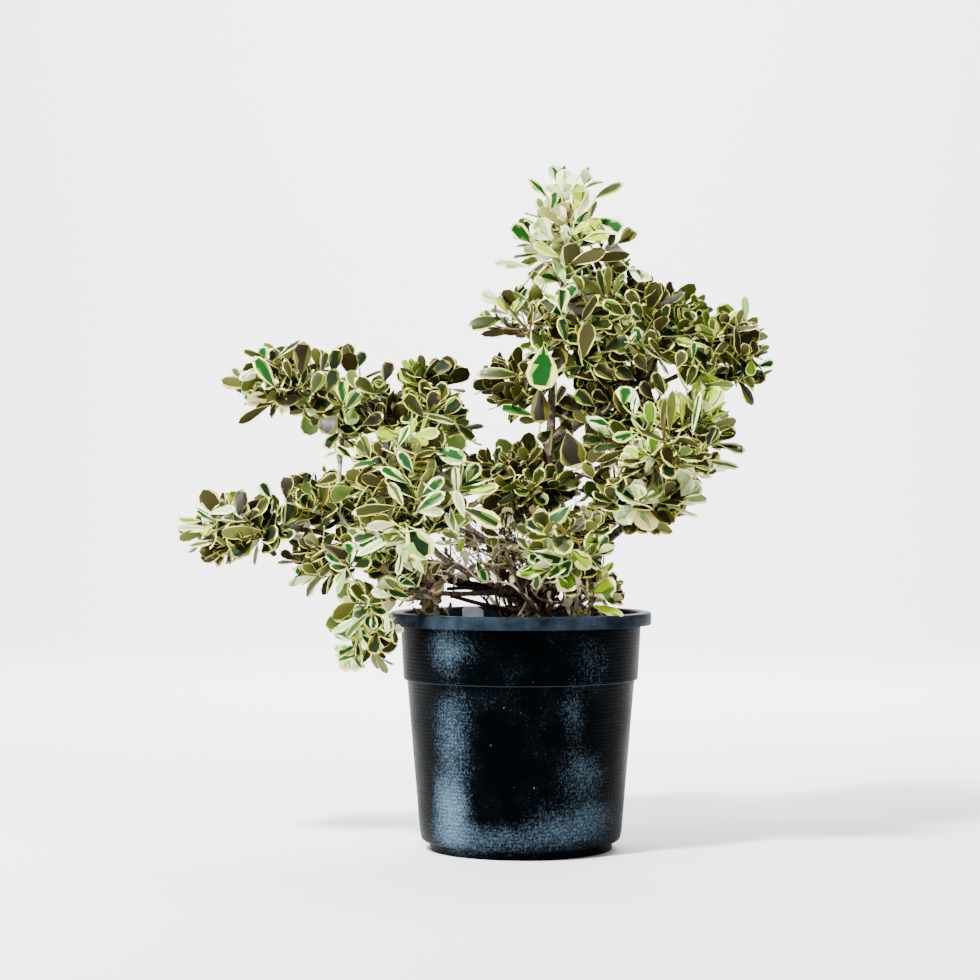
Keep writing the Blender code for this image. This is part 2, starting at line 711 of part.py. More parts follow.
def twig_object(name, start, end, collection):
    """A straight three-sided twig that tapers from start to end."""
    work = bmesh.new()
    bmesh.ops.create_cone(
        work, cap_ends=True, segments=3, radius1=SHOOT_RADII[0], radius2=SHOOT_RADII[1],
        depth=(end - start).length,
    )
    mesh = bpy.data.meshes.new(name)
    work.to_mesh(mesh)
    work.free()
    twig = add_object(name, mesh, collection)
    turn = (end - start).to_track_quat("Z", "Y").to_matrix().to_4x4()
    twig.matrix_world = Matrix.Translation((start + end) / 2) @ turn
    return twig


def tree_of(obj, matrix=None):
    matrix = matrix or obj.matrix_world
    return BVHTree.FromPolygons(
        [matrix @ v.co for v in obj.data.vertices], [tuple(p.vertices) for p in obj.data.polygons]
    )


def grow_mass(mass, seed, stem, stem_object, leaf, barriers):
    """Adds a mass's shoots and leaves and joins them to its stem. Returns how many leaves it holds."""
    grown = bpy.data.collections.new("grown_" + mass.name)
    bpy.context.scene.collection.children.link(grown)
    a, b, c = mass.reach
    wanted = round(LEAVES_PER_AREA * (a * b + b * c + a * c))
    leaves, blades, twigs = 0, [], []
    for index in range(MOST_SHOOTS):
        if leaves >= wanted:
            break
        start, end = shoot_ends(mass, seed, index, stem)
        if not owns(mass, [start.lerp(end, 0.5), end]):
            continue
        twig = twig_object(f"twig_{index}", start, end, grown)
        bpy.context.view_layer.update()
        twig_tree = tree_of(twig)
        if any(twig_tree.overlap(other) for other in barriers + blades):
            bpy.data.objects.remove(twig)
            continue
        held = 0
        for place in leaf_places(mass, seed, index, start, end):
            matrix = leaf_matrix(*place)
            points = [matrix @ v.co for v in leaf.vertices if v.co.x > 0.1]
            if not owns(mass, points):
                continue
            blade = add_object(f"leaf_{leaves + held}", leaf, grown)
            blade.matrix_world = matrix
            blade_tree = tree_of(blade, matrix)
            if any(blade_tree.overlap(other) for other in barriers + blades + twigs):
                bpy.data.objects.remove(blade)
                continue
            blades.append(blade_tree)
            held += 1
        if held < FEWEST_ON_SHOOT:
            del blades[len(blades) - held :]
            for piece in [twig, *(grown.objects[f"leaf_{leaves + k}"] for k in range(held))]:
                bpy.data.objects.remove(piece)
            continue
        twigs.append(twig_tree)
        leaves += held
    union = stem_object.modifiers.new("join", "BOOLEAN")
    union.operation = "UNION"
    union.operand_type = "COLLECTION"
    union.collection = grown
    union.solver = "MANIFOLD"
    apply_modifiers(stem_object)
    for piece in list(grown.objects):
        bpy.data.objects.remove(piece)
    bpy.data.collections.remove(grown)
    keep_largest(stem_object)
    return leaves


def make_foliage(collection, helpers, lines, clear_limbs, solids):
    """One solid for each mass, grown clear of every limb, the pot, the soil and the other masses' stems."""
    green = finish("leaf_green", (0.13, 0.16, 0.045), 0.45)
    leaf = leaf_mesh()
    keep_off = {}
    for limb in [TRUNK, *LIMBS]:
        line = lines[limb.name]
        radii = [r + KEEP_OFF for r in limb_radii(limb, line)]
        keep_off[limb.name] = tube("off_" + limb.name, line, radii, LIMB_SIDES, helpers)
    stems, stem_objects = {}, {}
    for mass in MASSES:
        carrier = next(limb for limb in [TRUNK, *LIMBS] if limb.name == mass.limb)
        stems[mass.name] = stem_line(mass, lines)
        thick = carrier.radii[1] if mass.at == 1.0 else STEM_RADII[0]
        radii = [thick + (STEM_RADII[1] - thick) * k / 5 for k in range(6)]
        stem = tube(mass.name, stems[mass.name], radii, TWIG_SIDES, collection, green)
        if mass.at < 1.0:
            cut(stem, [clear_limbs[mass.limb]])
        stem_objects[mass.name] = stem
        around = [r + KEEP_OFF for r in radii]
        keep_off[mass.name] = tube("off_" + mass.name, stems[mass.name], around, TWIG_SIDES, helpers)
    bpy.context.view_layer.update()
    trees = {name: tree_of(obj) for name, obj in keep_off.items()}
    trees.update({obj.name: tree_of(obj) for obj in solids})
    total = 0
    for seed, mass in enumerate(MASSES):
        barriers = [tree for name, tree in trees.items() if name != mass.name]
        total += grow_mass(mass, seed + 1, stems[mass.name], stem_objects[mass.name], leaf, barriers)
    print(f"{total} leaves in {len(MASSES)} masses")


def main():
    clear_scene()
    parts = new_collection("potted_coprosma")
    helpers = new_collection("cutters")
    helpers.hide_render = True
    pot = make_pot(parts, helpers)
    soil = make_soil(parts)
    slot = label_plate("cut_label", helpers, CLEAR)
    cut(soil, [slot])
    label = label_plate("label", parts)
    label.data.materials.append(finish("label_plastic", (0.55, 0.60, 0.72), 0.5))
    lines, clear_limbs = make_limbs(parts, helpers)
    make_foliage(parts, helpers, lines, clear_limbs, [pot, soil, label])
    for helper in list(helpers.objects):
        bpy.data.objects.remove(helper)


main()
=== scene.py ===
"""A potted variegated coprosma: barked limbs, some thousands of leaves, potting mix and a nursery pot.

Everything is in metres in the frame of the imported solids: +Z is up and the origin lies under the middle of
the pot. The crown grows by the rule that shapes the solids: each mass of foliage has its own ellipsoid of
space and one stem, shoots leave that stem for evenly spread points of the space, and leaves stand in crossed
pairs round the end of each shoot. Here the same spread is carried on to many more shoots, with true leaves.
"""

import json
import logging
import math
from dataclasses import dataclass, field, replace
from enum import Enum

import bpy
import numpy as np
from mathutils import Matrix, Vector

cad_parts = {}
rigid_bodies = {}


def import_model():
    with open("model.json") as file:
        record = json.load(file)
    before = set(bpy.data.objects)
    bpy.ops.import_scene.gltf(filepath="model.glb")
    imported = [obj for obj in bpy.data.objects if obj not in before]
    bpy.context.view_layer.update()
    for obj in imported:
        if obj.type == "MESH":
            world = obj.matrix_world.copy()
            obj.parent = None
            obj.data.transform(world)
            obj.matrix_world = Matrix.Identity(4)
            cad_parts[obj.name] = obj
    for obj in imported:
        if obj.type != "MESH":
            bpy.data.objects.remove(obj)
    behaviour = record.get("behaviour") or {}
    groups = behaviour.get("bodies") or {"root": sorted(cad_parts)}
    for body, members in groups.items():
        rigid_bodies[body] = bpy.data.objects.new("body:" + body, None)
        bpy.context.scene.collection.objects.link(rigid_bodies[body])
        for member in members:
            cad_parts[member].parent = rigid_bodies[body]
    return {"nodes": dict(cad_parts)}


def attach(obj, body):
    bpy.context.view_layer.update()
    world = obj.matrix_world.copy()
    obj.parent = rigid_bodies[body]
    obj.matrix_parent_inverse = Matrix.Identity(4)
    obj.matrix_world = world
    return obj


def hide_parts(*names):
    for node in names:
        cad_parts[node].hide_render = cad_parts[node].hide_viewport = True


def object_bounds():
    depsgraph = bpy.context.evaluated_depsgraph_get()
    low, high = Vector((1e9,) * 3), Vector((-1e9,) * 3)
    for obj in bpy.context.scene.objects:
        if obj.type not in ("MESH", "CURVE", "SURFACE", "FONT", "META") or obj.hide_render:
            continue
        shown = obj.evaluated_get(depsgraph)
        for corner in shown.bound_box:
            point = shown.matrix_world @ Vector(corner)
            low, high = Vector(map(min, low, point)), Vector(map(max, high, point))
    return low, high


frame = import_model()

LOG = logging.getLogger("coprosma")
CAD_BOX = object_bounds()
UP = np.array([0.0, 0.0, 1.0])
Array = np.ndarray

# ---------------------------------------------------------------- colour and node helpers

# The kinds of node that the finishes use most.
MATH, RANGE, NOISE = "ShaderNodeMath", "ShaderNodeMapRange", "ShaderNodeTexNoise"
RAMP, MIX, BUMP = "ShaderNodeValToRGB", "ShaderNodeMix", "ShaderNodeBump"


def linear(code: str) -> tuple[float, float, float, float]:
    """Turns an sRGB hex colour into linear RGBA.

    Args:
        code: six hex digits after a #.

    Returns:
        The linear colour with an alpha of one.
    """
    parts = [int(code[k : k + 2], 16) / 255 for k in (1, 3, 5)]
    return (*(p / 12.92 if p <= 0.04045 else ((p + 0.055) / 1.055) ** 2.4 for p in parts), 1.0)


def add_node(
    tree: bpy.types.NodeTree, kind: str, inputs: dict | None = None, output: str | int = 0, **settings
) -> bpy.types.NodeSocket:
    """Adds a shader node.

    Args:
        tree: the tree it goes into.
        kind: the node's type.
        inputs: values or other nodes' sockets, by the input's name or number.
        output: the output that is wanted.
        settings: the node's own properties.

    Returns:
        That output.
    """
    node = tree.nodes.new(kind)
    for name, value in settings.items():
        setattr(node, name, value)
    for name, value in (inputs or {}).items():
        if isinstance(value, bpy.types.NodeSocket):
            tree.links.new(value, node.inputs[name])
        else:
            node.inputs[name].default_value = value
    return node.outputs[output]


def set_ramp(colour: bpy.types.NodeSocket, stops: tuple[tuple[float, str], ...]) -> bpy.types.NodeSocket:
    """Gives a colour ramp its stops.

    Args:
        colour: the ramp's output.
        stops: places from 0 to 1 with their sRGB hex colours.

    Returns:
        The same output.
    """
    ramp = colour.node.color_ramp
    while len(ramp.elements) < len(stops):
        ramp.elements.new(0.5)
    for element, (place, code) in zip(ramp.elements, stops):
        element.position = place
        element.color = linear(code)
    return colour


def stretch(value: bpy.types.NodeSocket, low: float, high: float, first: float, last: float) -> dict:
    """What a Map Range node is given to take low to first and high to last, and to hold the ends."""
    return {"Value": value, "From Min": low, "From Max": high, "To Min": first, "To Max": last}


def new_material(name: str) -> tuple[bpy.types.Material, bpy.types.NodeTree, bpy.types.Node]:
    """Makes a Principled material.

    Args:
        name: what it is called.

    Returns:
        The material, its node tree and its shader.
    """
    material = bpy.data.materials.new(name)
    material.use_nodes = True
    tree = material.node_tree
    return material, tree, tree.nodes["Principled BSDF"]


# ---------------------------------------------------------------- finishes


@dataclass(frozen=True)
class PlainFinish:
    """One flat tone of a leaf or a green shoot, with the thin wax that makes it shine softly.

    Leaves carry their pattern in their faces, so that each zone of a leaf has a tone of its own.
    """

    name: str
    colour: str
    roughness: float = 0.50
    coat: float = 0.05
    coat_roughness: float = 0.2
    specular: float = 0.15

    def material(self) -> bpy.types.Material:
        """Builds the material with every value on the shader itself.

        Returns:
            The material.
        """
        material, _, shader = new_material(self.name)
        values = {
            "Base Color": linear(self.colour), "Roughness": self.roughness, "Coat Weight": self.coat,
            "Coat Roughness": self.coat_roughness, "Specular IOR Level": self.specular,
        }
        for name, value in values.items():
            shader.inputs[name].default_value = value
        return material


@dataclass(frozen=True)
class GrainFinish:
    """A rough or dirty surface: noise in object space sets its tone and, where it has a bump, its relief."""

    name: str
    stops: tuple[tuple[float, str], ...]  # its tones by the noise's value
    scale: float  # grains to a metre
    detail: float
    roughness: float
    fineness: float = 0.5  # how strong the noise's finer octaves are
    along: float = 1.0  # the scale's share along Z, less than one where the grain is drawn out
    bump: tuple[float, float] | None = None  # strength, and height in metres

    def material(self) -> bpy.types.Material:
        """Builds the material from one noise.

        Returns:
            The material.
        """
        material, tree, shader = new_material(self.name)
        place = add_node(tree, "ShaderNodeTexCoord", output="Object")
        if self.along < 1:
            place = add_node(tree, "ShaderNodeMapping", {"Vector": place, "Scale": (1.0, 1.0, self.along)})
        settings = {"Vector": place, "Scale": self.scale, "Detail": self.detail, "Roughness": self.fineness}
        grain = add_node(tree, NOISE, settings)
        colour = set_ramp(add_node(tree, RAMP, {"Fac": grain}), self.stops)
        tree.links.new(colour, shader.inputs["Base Color"])
        if self.bump:
            settings = {"Height": grain, "Strength": self.bump[0], "Distance": self.bump[1]}
            tree.links.new(add_node(tree, BUMP, settings), shader.inputs["Normal"])
        shader.inputs["Roughness"].default_value = self.roughness
        return material


# Brown bark in fissures of 2.2 mm, drawn out along the limb: darker in the cracks, greyer on the ridges.
BARK = GrainFinish(
    "bark", ((0.34, "#160f0a"), (0.5, "#3a2c20"), (0.68, "#6e5d4a")), 1 / 0.0022, 4.0, 0.85, 0.62, 0.35,
    (0.6, 0.0008),
)
# The young riser's bark: pale grey-green, in broader streaks.
GREEN_BARK = replace(
    BARK, name="green_bark", stops=((0.34, "#6f7d4e"), (0.5, "#a9b58a"), (0.68, "#d3d9bd")), scale=1 / 0.0035
)
# Dark potting mix in crumbs of 4 mm, with paler bark fibres.
POTTING_MIX = GrainFinish(
    "potting_mix", ((0.38, "#120d09"), (0.56, "#33261b"), (0.74, "#6b5641")), 260.0, 5.0, 0.92, 0.7,
    bump=(0.9, 0.0015),
)
# The plant label's pale plastic, blank, with a faint film of dirt in smears of 11 mm.
LABEL_PLASTIC = GrainFinish("label_plastic", ((0.45, "#d9e2f6"), (0.75, "#9aa4bc")), 90.0, 4.0, 0.4)


@dataclass(frozen=True)
class PotFinish:
    """Moulded black polypropylene: mould rings, a fine grain, flecks, dust, a worn lip, and painted
    highlights.
    """

    name: str = "pot_black"
    plastic: str = "#000101"
    haze: str = "#020406"
    # The tone of the painted highlight on the step's edge and of the lip, which is worn and also painted as
    # if lit.
    worn: str = "#33414f"
    # The tone of the dust, which also paints the soft highlights at the pot's front left and right.
    dust: str = "#637b8e"
    fleck: str = "#8d98a0"
    ring: float = 0.0042  # distance between mould rings
    edge: float = 0.1952  # height of the step's edge, where a thin highlight is painted
    edge_width: float = 0.0009
    lip_foot: float = 0.2565
    lip_fade: float = 0.002
    blotch: float = 22.0  # blotches of dust to a metre, each some 45 mm wide
    grit: float = 420.0  # specks to a metre, of 2.4 mm, as coarse as they have to be to show
    cell: float = 150.0  # cells to a metre, of 7 mm, each with one fleck at most
    sheen: str = "#b4d4f8"
    specular: float = 0.012  # old, dusty plastic hardly shines
    # Middle, half sizes and strength of each splash of dried dust, in metres; those at the front left and
    # right also paint the pot's highlights.
    splashes: tuple = (
        ((-0.079, -0.090, 0.048), (0.036, 0.080, 0.056), 0.62),
        ((-0.080, -0.096, 0.096), (0.034, 0.080, 0.070), 0.32),
        ((-0.078, -0.104, 0.152), (0.038, 0.090, 0.070), 0.26),
        ((-0.082, -0.112, 0.234), (0.046, 0.090, 0.044), 0.36),
        ((-0.060, -0.084, 0.020), (0.100, 0.090, 0.030), 0.30),
        ((0.070, -0.108, 0.098), (0.042, 0.080, 0.044), 0.26),
        ((0.056, -0.112, 0.160), (0.022, 0.070, 0.060), 0.20),
        ((0.076, -0.116, 0.222), (0.040, 0.080, 0.046), 0.14),
        ((0.066, -0.092, 0.042), (0.090, 0.090, 0.044), 0.34),
        ((0.000, -0.112, 0.026), (0.100, 0.080, 0.028), 0.20),
        ((0.090, 0.090, 0.060), (0.070, 0.070, 0.060), 0.40),
        ((-0.060, 0.110, 0.040), (0.060, 0.070, 0.040), 0.36),
    )

    def splash(self, tree: bpy.types.NodeTree, place: bpy.types.NodeSocket) -> bpy.types.NodeSocket:
        """How much dust and painted highlight a place has: each splash fades smoothly from its middle to its
        edge, and they add up.

        Args:
            tree: the material's tree.
            place: the point in object space.

        Returns:
            The sum.
        """
        total = None
        for middle, sizes, strength in self.splashes:
            share = place
            for other, operation in ((middle, "SUBTRACT"), (sizes, "DIVIDE")):
                share = add_node(tree, "ShaderNodeVectorMath", {0: share, 1: other}, operation=operation)
            run = add_node(tree, "ShaderNodeVectorMath", {0: share}, "Value", operation="LENGTH")
            fading = stretch(run, 0.0, 1.0, strength, 0.0)
            soft = add_node(tree, RANGE, fading, interpolation_type="SMOOTHSTEP")
            total = add_node(tree, MATH, {0: total, 1: soft}, operation="ADD") if total else soft
        return total

    def material(self) -> bpy.types.Material:
        """Builds the plastic: rings and grain in the bump; dust, painted highlights, a worn lip and flecks
        in the colour.

        Returns:
            The material.
        """
        material, tree, shader = new_material(self.name)
        place = add_node(tree, "ShaderNodeTexCoord", output="Object")
        height = add_node(tree, "ShaderNodeSeparateXYZ", {"Vector": place}, "Z")
        blotches, grain = (
            add_node(tree, NOISE, {"Vector": place, "Scale": scale, "Detail": detail, "Roughness": rough})
            for scale, detail, rough in ((self.blotch, 6.0, 0.62), (self.grit, 3.0, 0.75))
        )
        turns = add_node(tree, MATH, {0: height, 1: 2 * math.pi / self.ring}, operation="MULTIPLY")
        rings = add_node(tree, MATH, {0: turns}, operation="SINE")

        # Dust and painted highlight: the splashes, blotches and specks added up, then thinned between specks
        # and off the rings.
        specks = add_node(tree, RANGE, stretch(grain, 0.40, 0.62, 0.0, 1.0))
        dust = self.splash(tree, place)
        for share, weight in ((blotches, 0.40), (specks, 0.24)):
            dust = add_node(tree, MATH, {0: share, 1: weight, 2: dust}, operation="MULTIPLY_ADD")
        dust = add_node(tree, RANGE, stretch(dust, 0.43, 1.28, 0.0, 1.0))
        for thinning in (stretch(specks, 0.0, 1.0, 0.48, 1.0), stretch(rings, -1.0, 1.0, 0.72, 1.0)):
            left = add_node(tree, RANGE, thinning)
            dust = add_node(tree, MATH, {0: dust, 1: left}, operation="MULTIPLY")

        # Painted highlight: a thin pale line on the step's edge, as if it caught the light, and a lip paler
        # in patches, partly wear and partly painted highlight.
        above = add_node(tree, MATH, {0: height, 1: self.edge}, operation="SUBTRACT")
        off_edge = add_node(tree, MATH, {0: above}, operation="ABSOLUTE")
        painted_edge_highlight = add_node(tree, RANGE, stretch(off_edge, 0.0, self.edge_width, 0.45, 0.0))
        lip_top = self.lip_foot + self.lip_fade
        on_lip = add_node(tree, RANGE, stretch(height, self.lip_foot, lip_top, 0.0, 1.0))
        patches = add_node(tree, RANGE, stretch(blotches, 0.36, 0.66, 0.10, 0.62))
        lip_wear_and_highlight = add_node(tree, MATH, {0: on_lip, 1: patches}, operation="MULTIPLY")

        # Flecks: in a few cells, a spot as large as the cell's own chance gives.
        away = add_node(tree, "ShaderNodeTexVoronoi", {"Vector": place, "Scale": self.cell}, "Distance")
        chance = add_node(tree, MATH, {0: away.node.outputs["Color"], 1: 5.0}, operation="POWER")
        reach = add_node(tree, MATH, {0: chance, 1: 0.15}, operation="MULTIPLY")
        spots = add_node(tree, MATH, {0: away, 1: reach}, operation="LESS_THAN")
        flecks = add_node(tree, MATH, {0: spots, 1: grain}, operation="MULTIPLY")

        colour = set_ramp(add_node(tree, RAMP, {"Fac": blotches}), ((0.42, self.plastic), (0.75, self.haze)))
        # The dust tone also paints the front highlights; the worn tone paints the step's highlight line and
        # the lit lip.
        layers = ((dust, self.dust), (painted_edge_highlight, self.worn), (lip_wear_and_highlight, self.worn), (flecks, self.fleck))
        for share, tone in layers:
            colour = add_node(tree, MIX, {0: share, 6: colour, 7: linear(tone)}, 2, data_type="RGBA")

        faint = add_node(tree, MATH, {0: rings, 1: blotches}, operation="MULTIPLY")
        relief = add_node(tree, MATH, {0: faint, 1: 0.30, 2: grain}, operation="MULTIPLY_ADD")
        bump = add_node(tree, BUMP, {"Height": relief, "Strength": 0.7, "Distance": 0.0007})
        rough = add_node(tree, RANGE, stretch(blotches, 0.3, 0.7, 0.30, 0.42))
        tree.links.new(colour, shader.inputs["Base Color"])
        tree.links.new(rough, shader.inputs["Roughness"])
        tree.links.new(bump, shader.inputs["Normal"])
        shader.inputs["Specular Tint"].default_value = linear(self.sheen)
        shader.inputs["Specular IOR Level"].default_value = self.specular
        return material


class Zone(Enum):
    """The parts of a leaf that have their own tone."""

    CORE = 0
    FLECK = 1
    MARGIN = 2
    UNDER = 3
    STALK = 4


# The middles of living leaves: emerald, deep green, olive or brownish, and pale greens on young ones.
CORES = (
    PlainFinish("leaf_emerald", "#08420d"),
    PlainFinish("leaf_deep_green", "#0a1d03"),
    PlainFinish("leaf_olive", "#262c03"),
    PlainFinish("leaf_dusky", "#171203"),
    PlainFinish("leaf_fresh", "#5f8a0c"),
    PlainFinish("leaf_lime", "#a6c614"),
    PlainFinish("leaf_mint", "#a8d080"),
)
# The mottled band between the middle of a leaf and its pale edge.
FLECKS = (
    PlainFinish("fleck_sage", "#4e701a"),
    PlainFinish("fleck_olive", "#4a480c"),
    PlainFinish("fleck_grey_green", "#86ac4c"),
)
# The cream edge, from nearly white on fresh leaves to tan on old ones.
MARGINS = (
    PlainFinish("margin_ivory", "#fff2b4"),
    PlainFinish("margin_cream", "#efe684"),
    PlainFinish("margin_butter", "#c9c24c"),
    PlainFinish("margin_tan", "#7c7630"),
    PlainFinish("margin_white_green", "#e6f6c0"),
)
# Undersides are duller: khaki, grey-green or brownish.
UNDERS = (
    PlainFinish("under_khaki", "#555a20", 0.6, 0.0),
    PlainFinish("under_umber", "#33300f", 0.6, 0.0),
    PlainFinish("under_sage", "#50662a", 0.6, 0.0),
    PlainFinish("under_pale", "#d4d29c", 0.55, 0.0),
)
# Leaf stalks, and this year's shoots, still green and smooth.
STALK = PlainFinish("stalk_green", "#9cab55", 0.5, 0.0)
# Last year's shoots, turning to wood.
SHOOT = PlainFinish("shoot_brown", "#5f4c33", 0.7, 0.0)
# Dry, curled leaves and bare dead twigs: matt, from tan to brown and bleached grey.
DRY_LIGHT = PlainFinish("dry_leaf_tan", "#baa988", 0.75, 0.0)
DRY_DARK = PlainFinish("dry_leaf_brown", "#66523a", 0.8, 0.0)
DEAD_TWIG = PlainFinish("dead_twig", "#43362a", 0.85, 0.0)
PALE_TWIG = PlainFinish("pale_twig", "#b9ad97", 0.8, 0.0)


@dataclass(frozen=True)
class Character:
    """One look of leaf: which tones its zones take, and how broad its pale edge is.

    Attributes:
        cores, flecks, margins, unders: numbers in the lists of tones, equally likely.
        edge: share of the half width that the pale edge takes, on the mean.
        young: how much the blade is cupped up rather than bent back.
        broad: the blade's width as a share of its length, on the mean.
    """

    cores: tuple[int, ...]
    flecks: tuple[int, ...]
    margins: tuple[int, ...]
    unders: tuple[int, ...]
    edge: float
    young: float = 0.0
    broad: float = 0.58


class Look(Enum):
    """The looks of leaf that sprays are dealt."""

    EMERALD = Character((0, 0, 1), (0, 2), (0, 1, 4), (0, 2, 3), 0.31, broad=0.64)
    OLIVE = Character((2, 1, 2), (1, 0), (1, 2, 1), (0, 1, 2), 0.14)
    DUSKY = Character((3, 1, 3), (1,), (2, 3, 1), (1, 0, 1), 0.10)
    PALE = Character((6, 6, 0), (2,), (4, 0), (3, 2), 0.55, 0.3, broad=0.74)
    FRESH = Character((4, 5), (0, 2), (1, 0), (2, 3), 0.34, 0.5)
    LIME = Character((5, 5, 4), (0,), (1, 2), (2,), 0.24, 0.8)


LIVE_TONES = [*CORES, *FLECKS, *MARGINS, *UNDERS, STALK]
DRY_TONES = [DRY_LIGHT, DRY_DARK]


# ---------------------------------------------------------------- lines and tubes


def smooth_line(points: list, step: float) -> Array:
    """Draws a Catmull-Rom line through points.

    Args:
        points: the places it passes through.
        step: the distance between the points that it returns.

    Returns:
        An array (n, 3) that starts at the first point and ends at the last.
    """
    known = np.asarray(points, dtype=float)
    known = np.vstack([2 * known[0] - known[1], known, 2 * known[-1] - known[-2]])
    line = []
    for a, b, c, d in zip(known, known[1:], known[2:], known[3:]):
        parts = max(1, round(float(np.linalg.norm(c - b)) / step))
        t = (np.arange(parts) / parts)[:, None]
        line.append(
            0.5 * (2 * b + (c - a) * t + (2 * a - 5 * b + 4 * c - d) * t**2 + (3 * b - a - 3 * c + d) * t**3)
        )
    return np.vstack([*line, known[-2]])


def run_along(line: Array) -> Array:
    """The distance from a line's start to each of its points."""
    return np.concatenate([[0.0], np.cumsum(np.linalg.norm(np.diff(line, axis=0), axis=1))])


def point_at(line: Array, share: float) -> tuple[Array, Array]:
    """Finds a place on a line.

    Args:
        line: (n, 3) points.
        share: how far along it, from 0 to 1.

    Returns:
        The point, and the line's direction there.
    """
    run = run_along(line)
    goal = share * run[-1]
    i = int(np.clip(np.searchsorted(run, goal), 1, len(line) - 1))
    t = (goal - run[i - 1]) / (run[i] - run[i - 1])
    return line[i - 1] + t * (line[i] - line[i - 1]), unit(line[i] - line[i - 1])


def unit(vectors: Array) -> Array:
    """Vectors along the last axis, scaled to a length of one."""
    return vectors / np.maximum(np.linalg.norm(vectors, axis=-1, keepdims=True), 1e-9)


def strewn(rng: np.random.Generator, radius: float) -> tuple[float, Array]:
    """A random distance within a radius, even over the disc, and a random level direction."""
    reach, angle = radius * math.sqrt(rng.random()), rng.uniform(0, 2 * math.pi)
    return reach, np.array([math.cos(angle), math.sin(angle), 0.0])


def turned(profile: Array, steps: int) -> Array:
    """Turns a profile round Z: each point's radius times the cosine and sine of equal steps of angle.

    Args:
        profile: (n, 2) radii and heights.
        steps: points round each ring.

    Returns:
        (n, steps, 3) rings.
    """
    turn = np.arange(steps) * 2 * math.pi / steps
    radius, height = profile[:, :1], np.repeat(profile[:, 1:], steps, axis=1)
    return np.stack([radius * np.cos(turn), radius * np.sin(turn), height], axis=-1)


def ring_frames(line: Array) -> tuple[Array, Array]:
    """Carries a frame along a line without twisting it.

    Args:
        line: (n, 3) points.

    Returns:
        Two directions square to the line, and to each other, at each point.
    """
    heading = unit(np.gradient(line, axis=0))
    start = UP if abs(heading[0, 2]) < 0.9 else np.array([1.0, 0.0, 0.0])
    side = np.empty_like(line)
    side[0] = unit(np.cross(start, heading[0]))
    for i in range(1, len(line)):
        side[i] = unit(side[i - 1] - heading[i] * np.dot(side[i - 1], heading[i]))
    return side, np.cross(heading, side)


